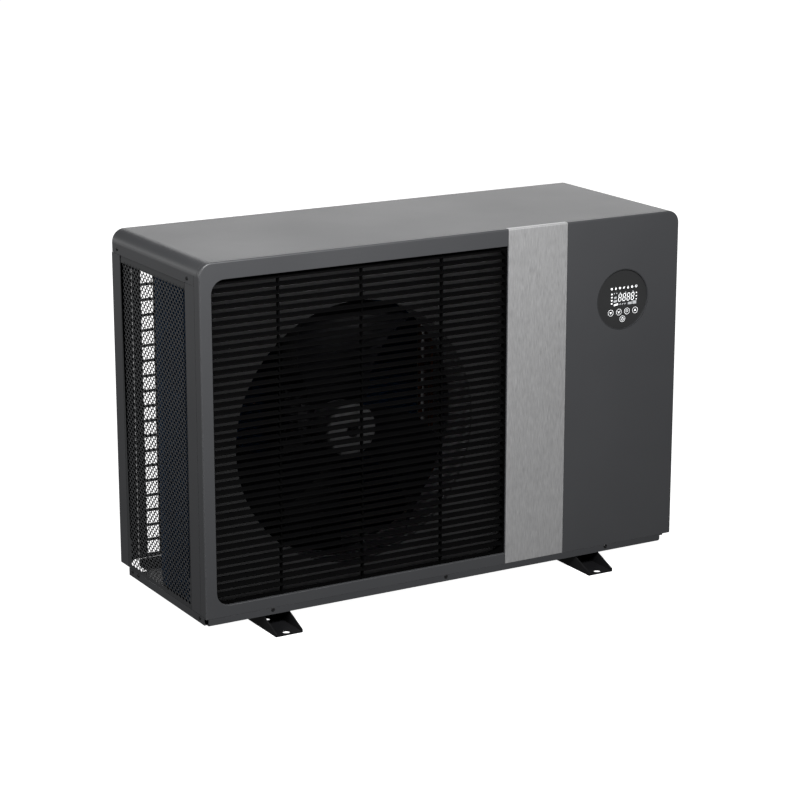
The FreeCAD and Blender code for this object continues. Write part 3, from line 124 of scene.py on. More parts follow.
def surface(name, low, high, roughness=(0.4, 0.5), metallic=0.0, specular=0.5, patch=6.0, grain=900.0,
            stretch=(1.0, 1.0, 1.0), grain_share=0.4, bump=0.02, edge_wear_and_sheen_colour=None, coat=0.0, glow=0.0, speck=0.0,
            painted_shade_facing=None):
    """A procedural finish: cloudy patches, fine grain, grain in the bump and lighter sharp edges, partly wear
    and partly a painted highlight.

    low and high are the darkest and lightest colours, patch and grain are features per metre and
    bump is the depth of the grain in millimetres. Faces that look along the direction given for the painted
    shade, towards the inside of the unit, get a painted shade as dark as primer."""
    material = bpy.data.materials.new(name)
    material.use_nodes = True
    tree = material.node_tree
    shader = tree.nodes["Principled BSDF"]
    shader.inputs["Metallic"].default_value = metallic
    shader.inputs["Specular IOR Level"].default_value = specular
    shader.inputs["Coat Weight"].default_value = coat
    shader.inputs["Coat Roughness"].default_value = 0.12
    coords = add_node(tree, "ShaderNodeTexCoord")
    mapping = add_node(tree, "ShaderNodeMapping")
    mapping.inputs["Scale"].default_value = stretch
    tree.links.new(coords.outputs["Object"], mapping.inputs["Vector"])
    patches = add_node(tree, "ShaderNodeTexNoise", Scale=patch, Detail=4.0, Roughness=0.55)
    tree.links.new(coords.outputs["Object"], patches.inputs["Vector"])
    grains = add_node(tree, "ShaderNodeTexNoise", Scale=grain, Detail=3.0, Roughness=0.6)
    tree.links.new(mapping.outputs["Vector"], grains.inputs["Vector"])
    blend = add_node(tree, "ShaderNodeMix", {"data_type": "FLOAT"}, Factor=grain_share)
    tree.links.new(patches.outputs["Fac"], blend.inputs["A"])
    tree.links.new(grains.outputs["Fac"], blend.inputs["B"])
    spread = add_node(tree, "ShaderNodeMapRange", {"clamp": True}, From_Min=0.3, From_Max=0.7)
    tree.links.new(blend.outputs["Result"], spread.inputs["Value"])
    colour = add_node(tree, "ShaderNodeMix", {"data_type": "RGBA"})
    colour.inputs["A"].default_value = rgba(low)
    colour.inputs["B"].default_value = rgba(high)
    tree.links.new(spread.outputs["Result"], colour.inputs["Factor"])
    final_colour = colour.outputs["Result"]
    if speck:
        cells = add_node(tree, "ShaderNodeTexVoronoi", Scale=grain * 0.6)
        tree.links.new(mapping.outputs["Vector"], cells.inputs["Vector"])
        dots = add_node(tree, "ShaderNodeMapRange", {"clamp": True}, From_Min=0.16, From_Max=0.08,
                        To_Min=0.0, To_Max=speck)
        tree.links.new(cells.outputs["Distance"], dots.inputs["Value"])
        pale = [min(1.0, 2.2 * value) for value in high]
        final_colour = mix_colour(tree, dots.outputs["Result"], final_colour, pale)
    # lighter sharp edges: partly wear, partly a painted highlight
    if edge_wear_and_sheen_colour:
        edge_wear_and_sheen = add_node(tree, "ShaderNodeMath", {"operation": "MULTIPLY"})
        tree.links.new(edge_mask(tree, edge_wear_and_sheen_radius, edge_wear_and_sheen_share), edge_wear_and_sheen.inputs[0])
        tree.links.new(spread.outputs["Result"], edge_wear_and_sheen.inputs[1])
        final_colour = mix_colour(tree, edge_wear_and_sheen.outputs["Value"], final_colour, edge_wear_and_sheen_colour)
    # faces that look into the unit get a painted shade, as dark as primer, where the inside lies in shadow
    if painted_shade_facing:
        geometry = add_node(tree, "ShaderNodeNewGeometry")
        facing = add_node(tree, "ShaderNodeVectorMath", {"operation": "DOT_PRODUCT"})
        facing.inputs[1].default_value = painted_shade_facing
        tree.links.new(geometry.outputs["Normal"], facing.inputs[0])
        inside = add_node(tree, "ShaderNodeMapRange", {"clamp": True}, From_Min=0.4, From_Max=0.7)
        tree.links.new(facing.outputs["Value"], inside.inputs["Value"])
        final_colour = mix_colour(tree, inside.outputs["Result"], final_colour, painted_shade_primer_colour)
    tree.links.new(final_colour, shader.inputs["Base Color"])
    if glow:
        tree.links.new(final_colour, shader.inputs["Emission Color"])
        shader.inputs["Emission Strength"].default_value = glow
    rough = add_node(tree, "ShaderNodeMapRange", {"clamp": True}, From_Min=0.3, From_Max=0.7,
                     To_Min=roughness[0], To_Max=roughness[1])
    tree.links.new(blend.outputs["Result"], rough.inputs["Value"])
    tree.links.new(rough.outputs["Result"], shader.inputs["Roughness"])
    if bump:
        raised = add_node(tree, "ShaderNodeBump", Strength=0.6, Distance=bump * MM)
        tree.links.new(grains.outputs["Fac"], raised.inputs["Height"])
        tree.links.new(raised.outputs["Normal"], shader.inputs["Normal"])
    return material


finishes = {
    "casing_paint": surface("casing_powder_coat", (0.040, 0.041, 0.044), (0.047, 0.048, 0.051), (0.40, 0.50),
                            patch=3.0, grain=1300.0, bump=0.03, edge_wear_and_sheen_colour=(0.16, 0.16, 0.165), speck=0.15),
    "pan_paint": surface("pan_powder_coat", (0.034, 0.035, 0.038), (0.042, 0.043, 0.046), (0.42, 0.55),
                         patch=5.0, grain=1300.0, bump=0.03, edge_wear_and_sheen_colour=(0.14, 0.14, 0.145), speck=0.15),
    "rail_paint": surface("rail_black_paint", (0.004, 0.004, 0.0045), (0.008, 0.008, 0.009), (0.45, 0.6),
                          specular=0.3, patch=12.0, grain=900.0, bump=0.03, edge_wear_and_sheen_colour=(0.05, 0.05, 0.05)),
    "black_screws": surface("blackened_steel", (0.010, 0.010, 0.011), (0.022, 0.022, 0.023), (0.3, 0.45),
                            metallic=0.6, patch=60.0, grain=1500.0, edge_wear_and_sheen_colour=(0.15, 0.15, 0.15)),
    "zinc_steel": surface("zinc_plated_steel", (0.40, 0.40, 0.39), (0.58, 0.58, 0.57), (0.28, 0.42),
                          metallic=1.0, patch=50.0, grain=1200.0, edge_wear_and_sheen_colour=(0.75, 0.75, 0.74)),
    "galvanised_sheet": surface("galvanised_sheet", (0.34, 0.35, 0.36), (0.52, 0.53, 0.54), (0.35, 0.55),
                                metallic=0.9, patch=45.0, grain=160.0, grain_share=0.6, bump=0.004,
                                edge_wear_and_sheen_colour=(0.6, 0.6, 0.6)),
    "grille_plastic": surface("grille_black_plastic", (0.0005, 0.0005, 0.0006), (0.0011, 0.0011, 0.0012),
                              (0.6, 0.75), specular=0.04, patch=20.0, grain=1500.0, bump=0.02,
                              edge_wear_and_sheen_colour=(0.004, 0.004, 0.004)),
    "shroud_paint": surface("shroud_grey_paint", (0.44, 0.445, 0.455), (0.52, 0.525, 0.535), (0.5, 0.6),
                            patch=8.0, grain=800.0, bump=0.02, edge_wear_and_sheen_colour=(0.12, 0.12, 0.12)),
    "fan_plastic": surface("fan_glass_filled_plastic", (0.0014, 0.0013, 0.0032), (0.0026, 0.0024, 0.0052),
                           (0.42, 0.58), specular=0.25, patch=20.0, grain=700.0, stretch=(1.0, 1.0, 0.3),
                           bump=0.02, edge_wear_and_sheen_colour=(0.03, 0.03, 0.035), speck=0.05),
    "motor_paint": surface("motor_enamel", (0.03, 0.03, 0.032), (0.05, 0.05, 0.053), (0.35, 0.5),
                           patch=25.0, grain=500.0, bump=0.05, edge_wear_and_sheen_colour=(0.3, 0.3, 0.3)),
    "blue_fins": surface("blue_coated_fins", (0.005, 0.048, 0.130), (0.014, 0.100, 0.240), (0.40, 0.60),
                         metallic=0.4, patch=18.0, grain=260.0, stretch=(1.0, 1.0, 0.08), bump=0.05,
                         edge_wear_and_sheen_colour=(0.2, 0.26, 0.32)),
    "copper": surface("copper_tube", (0.24, 0.095, 0.050), (0.44, 0.20, 0.115), (0.26, 0.46), metallic=1.0,
                      patch=35.0, grain=500.0, stretch=(0.2, 1.0, 1.0), bump=0.01, edge_wear_and_sheen_colour=(0.6, 0.36, 0.24)),
    "brass": surface("machined_brass", (0.50, 0.36, 0.15), (0.72, 0.55, 0.27), (0.22, 0.36), metallic=1.0,
                     patch=40.0, grain=900.0, bump=0.01, edge_wear_and_sheen_colour=(0.85, 0.72, 0.45)),
    "black_enamel": surface("compressor_enamel", (0.008, 0.008, 0.009), (0.016, 0.016, 0.017), (0.22, 0.38),
                            patch=18.0, grain=350.0, bump=0.06, edge_wear_and_sheen_colour=(0.12, 0.12, 0.12), coat=0.2),
    "mount_rubber": surface("moulded_rubber", (0.010, 0.010, 0.010), (0.022, 0.021, 0.020), (0.75, 0.9),
                            specular=0.3, patch=40.0, grain=900.0, bump=0.05),
    "dark_plastic": surface("dark_moulded_plastic", (0.022, 0.023, 0.025), (0.032, 0.033, 0.036),
                            (0.42, 0.55), patch=15.0, grain=1600.0, bump=0.03, edge_wear_and_sheen_colour=(0.09, 0.09, 0.095)),
    "grey_pvc": surface("grey_pvc", (0.13, 0.135, 0.14), (0.18, 0.185, 0.19), (0.35, 0.5), patch=20.0,
                        grain=600.0, bump=0.01, edge_wear_and_sheen_colour=(0.3, 0.3, 0.31)),
    "black_plastic": surface("black_moulded_plastic", (0.008, 0.008, 0.009), (0.014, 0.014, 0.015),
                             (0.4, 0.55), patch=20.0, grain=1400.0, bump=0.03, edge_wear_and_sheen_colour=(0.07, 0.07, 0.07)),
    "ivory_plastic": surface("ivory_thermoset", (0.52, 0.48, 0.40), (0.64, 0.60, 0.52), (0.35, 0.5),
                             patch=30.0, grain=900.0, bump=0.01, edge_wear_and_sheen_colour=(0.75, 0.72, 0.65)),
    "green_board": surface("solder_mask", (0.010, 0.09, 0.04), (0.02, 0.14, 0.065), (0.25, 0.4),
                           patch=60.0, grain=300.0, bump=0.01, edge_wear_and_sheen_colour=(0.2, 0.3, 0.2)),
    "lens_plastic": surface("smoked_lens", (0.019, 0.0193, 0.0200), (0.023, 0.0233, 0.0240), (0.38, 0.46),
                            patch=10.0, grain=500.0, bump=0.002, edge_wear_and_sheen_colour=(0.06, 0.06, 0.06)),
    "key_plastic": surface("key_plastic", (0.019, 0.0193, 0.0200), (0.024, 0.0243, 0.0250), (0.38, 0.46),
                           patch=30.0, grain=900.0, bump=0.004, edge_wear_and_sheen_colour=(0.08, 0.08, 0.08)),
    "brushed_strip": surface("brushed_aluminium", (0.43, 0.43, 0.435), (0.61, 0.61, 0.615),
                             (0.42, 0.54), metallic=0.7, patch=4.0, grain=900.0, grain_share=0.86,
                             stretch=(1.0, 1.0, 0.07), bump=0.02, edge_wear_and_sheen_colour=(0.7, 0.7, 0.7)),
}
# the white and grey prints glow: on the display they are its lit digits and signs; the white print also marks
# the keys, where its glow is painted light
glowing_white_print = surface("white_print_with_glow", (0.70, 0.71, 0.72), (0.80, 0.81, 0.82), (0.5, 0.6), patch=200.0,
                      grain=3000.0, bump=0.0, glow=0.95)
print_grey = surface("printed_grey", (0.30, 0.31, 0.32), (0.38, 0.39, 0.40), (0.5, 0.6), patch=200.0,
                     grain=3000.0, bump=0.0, glow=0.45)

# Some nodes share a slot in the record but have a finish of their own. Deep in the outlet the nut, the
# shaft and the bolts are painted near black and the motor bracket black, as painted shade, so that nothing
# shines through the louvres; the rear guard is black plastic as painted shade too. The rear left post has the
# casing's paint outside and a painted shade, as dark as primer, on the faces that look to the front,
# inside the unit. The perforated sheet's paint is a shade darker than the casing's.
finishes["shaft_black_painted_shade"] = surface("shaft_black_painted_shade", (0.010, 0.010, 0.012), (0.020, 0.020, 0.023),
                                      (0.35, 0.5), metallic=0.5, patch=60.0, grain=1500.0,
                                      edge_wear_and_sheen_colour=(0.10, 0.10, 0.10))
finishes["post_paint_with_painted_shade"] = surface("post_paint_with_painted_shade", (0.040, 0.041, 0.044), (0.047, 0.048, 0.051),
                                        (0.40, 0.50), patch=3.0, grain=1300.0, bump=0.03,
                                        edge_wear_and_sheen_colour=(0.16, 0.16, 0.165), speck=0.15, painted_shade_facing=(0.0, -1.0, 0.0))
finishes["perforated_paint"] = surface("perforated_sheet_paint", (0.026, 0.0270, 0.029),
                                       (0.033, 0.0340, 0.036), (0.42, 0.52), patch=3.0,
                                       grain=1300.0, bump=0.03, edge_wear_and_sheen_colour=(0.12, 0.12, 0.125), speck=0.1)
own_finish = {"rear_left_post": "post_paint_with_painted_shade", "rear_guard": "black_plastic",
              "fan_hub_nut": "shaft_black_painted_shade", "motor_shaft": "shaft_black_painted_shade",
              "motor_bolts": "shaft_black_painted_shade", "motor_bracket": "black_enamel"}

hub_radius = 50.0 * MM
hub_softness = 0.5 * MM
hub_cap_colour = (0.136, 0.137, 0.141)


def lighten_hub(material, fan):
    """The fan's cap, within hub_radius of its axis, is in a lighter plastic than the blades."""
    low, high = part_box("fan_hub_nut")
    axis = fan.matrix_world.inverted() @ ((low + high) / 2)
    tree = material.node_tree
    shader = tree.nodes["Principled BSDF"]
    coords = add_node(tree, "ShaderNodeTexCoord")
    offset = add_node(tree, "ShaderNodeVectorMath", {"operation": "SUBTRACT"})
    offset.inputs[1].default_value = axis
    tree.links.new(coords.outputs["Object"], offset.inputs[0])
    across = add_node(tree, "ShaderNodeVectorMath", {"operation": "MULTIPLY"})
    across.inputs[1].default_value = (1.0, 0.0, 1.0)
    tree.links.new(offset.outputs["Vector"], across.inputs[0])
    reach = add_node(tree, "ShaderNodeVectorMath", {"operation": "LENGTH"})
    tree.links.new(across.outputs["Vector"], reach.inputs[0])
    inside = add_node(tree, "ShaderNodeMapRange", {"clamp": True}, From_Min=hub_radius + hub_softness,
                      From_Max=hub_radius - hub_softness)
    tree.links.new(reach.outputs["Value"], inside.inputs["Value"])
    blade_colour = shader.inputs["Base Color"].links[0].from_socket
    capped = mix_colour(tree, inside.outputs["Result"], blade_colour, hub_cap_colour)
    tree.links.new(capped, shader.inputs["Base Color"])


def dress(thing, material):
    """Gives a piece or a CAD node one finish in place of what it has."""
    thing.data.materials.clear()
    thing.data.materials.append(material)


lighten_hub(finishes["fan_plastic"], nodes["fan_impeller"])

for entry in frame["record"]["subparts"]:
    dress(nodes[entry["node"]], finishes[own_finish.get(entry["node"], entry["material_slot"])])


# ---------------------------------------------------------------- building pieces

def piece(name, points, faces, slot_name, body="cabinet", stands_for=(), smooth=False):
    """A mesh of points in casing millimetres that rides on a body."""
    mesh = bpy.data.meshes.new(name)
    mesh.from_pydata([tuple(at(*point)) for point in points], [], faces)
    tidy = bmesh.new()
    tidy.from_mesh(mesh)
    bmesh.ops.recalc_face_normals(tidy, faces=tidy.faces)
    tidy.to_mesh(mesh)
    tidy.free()
    mesh.materials.append(finishes[slot_name])
    for polygon in mesh.polygons:
        polygon.use_smooth = smooth
    thing = bpy.data.objects.new(name, mesh)
    bpy.context.scene.collection.objects.link(thing)
    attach(thing, body)
    if stands_for:
        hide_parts(*stands_for)
    return thing


class Build:
    """Gathers closed shapes into one list of points and faces."""

    def __init__(self):
        self.points = []
        self.faces = []

    def add(self, points, faces):
        start = len(self.points)
        self.points.extend(points)
        self.faces.extend([tuple(start + index for index in face) for face in faces])

    def rings(self, rings, closed=False):
        """Skins a row of rings of equal length; the ends are capped unless the row is closed."""
        count = len(rings[0])
        points = [point for ring in rings for point in ring]
        faces = []
        spans = len(rings) if closed else len(rings) - 1
        for span in range(spans):
            a = span * count
            b = (span + 1) % len(rings) * count
            for i in range(count):
                j = (i + 1) % count
                faces.append((a + i, a + j, b + j, b + i))
        if not closed:
            faces.append(tuple(range(count)))
            faces.append(tuple(range(len(points) - count, len(points))))
        self.add(points, faces)

    def plate(self, outline, depth, lift=(0.0, 0.0, 0.0)):
        """A flat outline given thickness along the vector depth."""
        near = [tuple(Vector(point) + Vector(lift)) for point in outline]
        far = [tuple(Vector(point) + Vector(depth)) for point in near]
        self.rings([near, far])


def rounded_profile(width, height, radius, steps=3):
    """A rectangle with rounded corners round its centre, as (u, v) pairs."""
    corners = []
    for cu, cv, start in ((1, 1, 0), (-1, 1, 90), (-1, -1, 180), (1, -1, 270)):
        for step in range(steps + 1):
            angle = math.radians(start + 90 * step / steps)
            corners.append((cu * (width / 2 - radius) + radius * math.cos(angle),
                            cv * (height / 2 - radius) + radius * math.sin(angle)))
    return corners


def circle(radius, count):
    """Points round the origin, as (u, v) pairs."""
    angles = [2 * math.pi * step / count for step in range(count)]
    return [(radius * math.cos(angle), radius * math.sin(angle)) for angle in angles]


# ---------------------------------------------------------------- perforated side panel

def make_side_mesh():
    """The left inlet panel with staggered rows of long hexagonal holes; the sheet is one skin."""
    low, high = local_box("left_mesh_panel")
    sheet = 0.8
    joggle_height = 18.1
    top = high.z - joggle_height
    half_pitch = 6.44
    row_height = 6.02
    tip, flat, half_height = 5.05, 2.75, 2.85
    hole = [(tip, 0.0), (flat, half_height), (-flat, half_height),
            (-tip, 0.0), (-flat, -half_height), (flat, -half_height)]
    diamond = [(half_pitch, 0.0), (0.0, row_height), (0.0, row_height),
               (-half_pitch, 0.0), (0.0, -row_height), (0.0, -row_height)]
    columns = 20
    rows = 95
    middle_y = (64.5 + 314.0) / 2
    middle_z = (50.0 + 620.0) / 2
    first_y = middle_y - columns * half_pitch
    first_z = middle_z - (rows + 1) / 2 * row_height
    known = {}
    points = []
    faces = []

    def point(x, y, z):
        key = (round(x, 3), round(y, 3), round(z, 3))
        if key not in known:
            known[key] = len(points)
            points.append(key)
        return known[key]

    boundary = {}  # how many cells use each edge; one that is used once is on the pattern's outline
    for row in range(rows):
        shift = row % 2
        for column in range(columns - shift):
            y = first_y + half_pitch * (2 * column + 1 + shift)
            z = first_z + row_height * (row + 1)
            outer = [(y + u, z + v) for u, v in diamond]
            inner = [(y + u, z + v) for u, v in hole]
            for step in range(len(hole)):
                after = (step + 1) % len(hole)
                for x in (0.0, sheet):
                    quad = [point(x, *outer[step]), point(x, *outer[after]),
                            point(x, *inner[after]), point(x, *inner[step])]
                    faces.append(tuple(dict.fromkeys(quad)))
                faces.append((point(0.0, *inner[step]), point(0.0, *inner[after]),
                              point(sheet, *inner[after]), point(sheet, *inner[step])))
                a = point(0.0, *outer[step])
                b = point(0.0, *outer[after])
                if a != b:
                    pair = (min(a, b), max(a, b))
                    boundary[pair] = boundary.get(pair, 0) + 1
    links = {}
    for (a, b), uses in boundary.items():
        if uses == 1:
            links.setdefault(a, []).append(b)
            links.setdefault(b, []).append(a)
    start = min(links)
    loop = [start, links[start][0]]
    while True:
        a, b = links[loop[-1]]
        after = a if a != loop[-2] else b
        if after == start:
            break
        loop.append(after)
    rim = [(low.y, low.z), (high.y, low.z), (high.y, top), (low.y, top)]
    corners = [Vector((0.0, y, z)) for y, z in rim]
    inner_loop = [Vector(points[index]) for index in loop]
    indexes = [point(0.0, y, z) for y, z in rim] + loop
    backs = [point(sheet, points[index][1], points[index][2]) for index in indexes]
    for triangle in tessellate_polygon([corners, inner_loop]):
        faces.append(tuple(indexes[i] for i in triangle))
        faces.append(tuple(backs[i] for i in triangle))
    for i in range(len(rim)):
        j = (i + 1) % len(rim)
        faces.append((indexes[i], indexes[j], backs[j], backs[i]))
    build = Build()
    build.add(points, faces)
    inset = 2
    overlap = 12
    # a strip behind the sheet's upper edge closes the joggle up to the cover
    tongue = [(sheet, low.y + inset, top - overlap), (sheet, high.y - inset, top - overlap),
              (sheet, high.y - inset, high.z), (sheet, low.y + inset, high.z)]
    build.plate(tongue, (sheet, 0.0, 0.0), (0.001, 0.0, 0.0))
    panel = piece("perforated_side_panel", build.points, build.faces, "casing_paint",
                  stands_for=["left_mesh_panel"])
    dress(panel, finishes["perforated_paint"])


# ---------------------------------------------------------------- finned coil

coil_centre = (191.0, 173.0)
coil_mean_radius = 158.0
coil_half_depth = 19.0
coil_end_gap = 0.6


def coil_path(spacing):
    """Points along the middle of the coil with the direction across it, front end to right end."""
    low, high = local_box("evaporator_fins")
    middle = low.x + coil_half_depth
    places = []
    steps = int((coil_centre[1] - low.y) / spacing)
    for step in range(steps):
        y = low.y + coil_end_gap + step * (coil_centre[1] - low.y) / steps
        places.append((Vector((middle, y, 0.0)), Vector((-1.0, 0.0, 0.0))))
    arc_steps = int(coil_mean_radius * math.pi / 2 / spacing)
    for step in range(arc_steps):
        angle = math.pi / 2 * step / arc_steps
        outward = Vector((-math.cos(angle), math.sin(angle), 0.0))
        places.append((Vector((*coil_centre, 0.0)) + outward * coil_mean_radius, outward))
    steps = int((high.x - coil_centre[0]) / spacing)
    for step in range(steps + 1):
        x = coil_centre[0] + step * (high.x - coil_end_gap - coil_centre[0]) / steps
        places.append((Vector((x, high.y - coil_half_depth, 0.0)), Vector((0.0, 1.0, 0.0))))
    return places


def make_fin_pack():
    """Hundreds of thin fins, each with a slightly wavy section, in the space of the coil block."""
    low, high = local_box("evaporator_fins")
    build = Build()
    generator = random.Random(4)
    fin_spacing = 2.3
    fin_depth = 37.8
    half_thickness = 0.09
    wave_height = 0.35
    most_lean = 0.12
    waves = 4
    for place, outward in coil_path(fin_spacing):
        along = Vector((outward.y, -outward.x, 0.0))
        lean = generator.uniform(-most_lean, most_lean)
        near = []
        far = []
        for step in range(waves + 1):
            across = -fin_depth / 2 + fin_depth * step / waves
            wave = wave_height * (step % 2) + lean
            centre = place + outward * across + along * wave
            near.append(centre - along * half_thickness)
            far.append(centre + along * half_thickness)
        ring = near + far[::-1]
        build.rings([[(p.x, p.y, z) for p in ring] for z in (low.z, high.z)])
    piece("coil_fin_pack", build.points, build.faces, "blue_fins", stands_for=["evaporator_fins"])


def make_coil_tubes():
    """The straight runs of tube that pass through the fins."""
    build = Build()
    bend_spacing = 12.0
    path = coil_path(bend_spacing)
    tube_rows = 24
    lowest_tube = 48.0
    row_pitch = 25.0
    tube_radius = 3.9
    for row in range(tube_rows):
        z = lowest_tube + row_pitch * row
        for side in (-coil_half_depth / 2, coil_half_depth / 2):
            rings = []
            for place, outward in path:
                centre = place + outward * side
                rings.append([(centre.x + outward.x * u, centre.y + outward.y * u, z + v)
                              for u, v in circle(tube_radius, 8)])
            build.rings(rings)
    piece("coil_tubes", build.points, build.faces, "copper", smooth=True)


# ---------------------------------------------------------------- outlet grille

def make_grille():
    """Forty tilted slats with rounded edges, three upright ribs and the frame that holds them."""
    low, high = local_box("fan_grille")
    build = Build()
    pitch = 14.355
    count = 40
    tilt = math.radians(30.0)
    slat_width = 11.0
    slat_thickness = 2.5
    slat_edge = 1.1
    slat_inset = 1.5
    slat_left, slat_right = 22.0, 622.0
    lift = 4.4
    window_middle = (59.4 + 643.5) / 2
    first = window_middle - pitch * (count - 1) / 2
    section = rounded_profile(slat_width, slat_thickness, slat_edge)
    middle_y = (low.y + slat_inset + slat_width / 2 * math.cos(tilt)
                - slat_thickness / 2 * math.sin(tilt))
    for index in range(count):
        z = first + pitch * index + slat_thickness / 2 * math.cos(tilt) + lift
        ring = [(middle_y + u * math.cos(tilt) - v * math.sin(tilt),
                 z + u * math.sin(tilt) + v * math.cos(tilt)) for u, v in section]
        build.rings([[(x, y, zz) for y, zz in ring] for x in (slat_left, slat_right)])
    rib_width = 3.0
    rib_depth = 8.6
    rib_edge = 0.9
    rib_inset = 4.5
    rib_bottom, rib_top = 55.0, 648.0
    for x in (156.0, 321.0, 486.0):
        ring = rounded_profile(rib_width, rib_depth, rib_edge)
        build.rings([[(x + u, high.y - rib_inset + v, z) for u, v in ring] for z in (rib_bottom, rib_top)])
    border = 14.0
    outer_radius, inner_radius = 30.0, 22.0
    outer = frame_loop(low.x, high.x, low.z, high.z, outer_radius)
    inner = frame_loop(low.x + border, high.x - border, low.z + border, high.z - border, inner_radius)
    rings = [[(x, low.y, z) for x, z in outer], [(x, high.y, z) for x, z in outer],
             [(x, high.y, z) for x, z in inner], [(x, low.y, z) for x, z in inner]]
    build.rings(rings, closed=True)
    piece("louvred_grille", build.points, build.faces, "grille_plastic", stands_for=["fan_grille"])


def frame_loop(x0, x1, z0, z1, radius, steps=8):
    """A rounded rectangle as (x, z) pairs."""
    loop = []
    for cx, cz, start in ((x1 - radius, z1 - radius, 0), (x0 + radius, z1 - radius, 90),
                          (x0 + radius, z0 + radius, 180), (x1 - radius, z0 + radius, 270)):
        for step in range(steps + 1):
            angle = math.radians(start + 90 * step / steps)
            loop.append((cx + radius * math.cos(angle), cz + radius * math.sin(angle)))
    return loop


# ---------------------------------------------------------------- screws

def screw_axes():
    """The top of each screw's head, its inward direction and its length, read from the CAD group."""
    mesh = bmesh.new()
    mesh.from_mesh(nodes["casing_screws"].data)
    bmesh.ops.remove_doubles(mesh, verts=mesh.verts, dist=0.001 * MM)
    waiting = set(mesh.verts)
    axes = []
    while waiting:
        stack = [waiting.pop()]
        group = []
        while stack:
            here = stack.pop()
            group.append(local(here.co))
            for edge in here.link_edges:
                other = edge.other_vert(here)
                if other in waiting:
                    waiting.remove(other)
                    stack.append(other)
        low = Vector([min(point[i] for point in group) for i in range(3)])
        high = Vector([max(point[i] for point in group) for i in range(3)])
        size = high - low
        axis = max(range(3), key=lambda i: size[i])
        centre = (low + high) / 2

        def reach(end):
            return max((point - centre).length for point in group if abs(point[axis] - end[axis]) < 0.01)

        outward = -1.0 if reach(low) > reach(high) else 1.0
        inward = Vector((0.0, 0.0, 0.0))
        inward[axis] = -outward
        top = centre.copy()
        top[axis] = high[axis] if outward > 0 else low[axis]
        axes.append((top, inward, size[axis]))
    mesh.free()
    return sorted(axes, key=lambda entry: tuple(entry[0]))


def make_screws():
    """Domed screw heads with a cross recess, each turned as it was left by the driver."""
    build = Build()
    generator = random.Random(9)
    head_radius = 3.6
    radii = (0.45, 0.9, 1.35, 1.8, 2.25, 2.8, 3.3, head_radius)
    around = 32
    cross_half_width = 0.42
    cross_reach = 2.0
    cross_depth = 0.9
    cross_middle_depth = 1.1
    dome = 0.42
    rim_drop = 0.28
    head_depth = 1.6
    shank_radius = 1.9
    for top, inward, length in screw_axes():
        turn = generator.uniform(0.0, math.pi / 2)
        side = Vector((0.0, 0.0, 1.0)).cross(inward).normalized()
        up = inward.cross(side)
        points = [top + inward * cross_middle_depth]
        for radius in radii:
            for step in range(around):
                angle = 2 * math.pi * step / around
                u = radius * math.cos(angle)
                v = radius * math.sin(angle)
                in_cross = min(abs(u), abs(v)) < cross_half_width and max(abs(u), abs(v)) < cross_reach
                depth = dome * (radius / head_radius) ** 2
                if radius == head_radius:
                    depth += rim_drop
                if in_cross:
                    depth = cross_depth
                across = side * math.cos(turn) + up * math.sin(turn)
                over = up * math.cos(turn) - side * math.sin(turn)
                points.append(top + inward * depth + across * u + over * v)
        for radius, depth in ((head_radius, head_depth), (shank_radius, head_depth), (shank_radius, length)):
            for step in range(around):
                angle = 2 * math.pi * step / around + turn
                spoke = side * math.cos(angle) + up * math.sin(angle)
                points.append(top + inward * depth + spoke * radius)
        rings = len(radii) + 3
        faces = [(0, 1 + step, 1 + (step + 1) % around) for step in range(around)]
        for ring in range(rings - 1):
            a = 1 + ring * around
            b = a + around
            for step in range(around):
                after = (step + 1) % around
                faces.append((a + step, b + step, b + after, a + after))
        faces.append(tuple(range(1 + (rings - 1) * around, 1 + rings * around)))
        build.add([tuple(point) for point in points], faces)
    piece("cross_recess_screws", build.points, build.faces, "black_screws", stands_for=["casing_screws"])


# ---------------------------------------------------------------- display

display_low, display_high = local_box("display_lens")
display_centre = (display_low + display_high) / 2
print_front = display_low.y


def flat_prints(name, outlines, material, slot_name, face_y, body="cabinet"):
    """Printed marks: thin plates on a face that looks to the front."""
    thickness = 0.12
    gap = 0.01
    build = Build()
    for outline in outlines:
        loop = [(x, face_y - thickness, z) for x, z in outline]
        build.plate(loop, (0.0, thickness - gap, 0.0))
    dress(piece(name, build.points, build.faces, slot_name, body), material)


def bar(x0, z0, x1, z1, width):
    """A straight mark between two points."""
    start = Vector((x0, z0))
    end = Vector((x1, z1))
    along = (end - start).normalized()
    side = Vector((-along.y, along.x)) * width / 2
    return [tuple(start - side), tuple(end - side), tuple(end + side), tuple(start + side)]


def seven_segments(x, z, width, height):
    """The bars of an eight; x and z are its lower left corner."""
    slant = 0.12
    stroke = 1.3
    shrink = 0.12

    def corner_of(u, v):
        return x + u * width + slant * v * height, z + v * height

    marks = []
    for a, b in (((0, 0), (1, 0)), ((0, 0.5), (1, 0.5)), ((0, 1), (1, 1)), ((0, 0), (0, 0.5)),
                 ((1, 0), (1, 0.5)), ((0, 0.5), (0, 1)), ((1, 0.5), (1, 1))):
        ax, az = corner_of(*a)
        bx, bz = corner_of(*b)
        marks.append(bar(ax + (bx - ax) * shrink, az + (bz - az) * shrink,
                         bx - (bx - ax) * shrink, bz - (bz - az) * shrink, stroke))
    return marks


def disc(x, z, radius, count=12):
    """A round mark about (x, z)."""
    return [(x + u, z + v) for u, v in circle(radius, count)]


# The display's generic signs, each a few millimetres across and drawn about (x, z).

def icon_ring(x, z):
    return ring_marks(x, z, 2.0, 0.9, 14) + [disc(x, z, 0.6, 8)]


def icon_disc(x, z):
    return [disc(x, z, 2.3, 14)]


def icon_drop(x, z):
    return [disc(x, z - 0.7, 1.7, 12), [(x - 1.4, z + 0.1), (x + 1.4, z + 0.1), (x, z + 3.0)]]


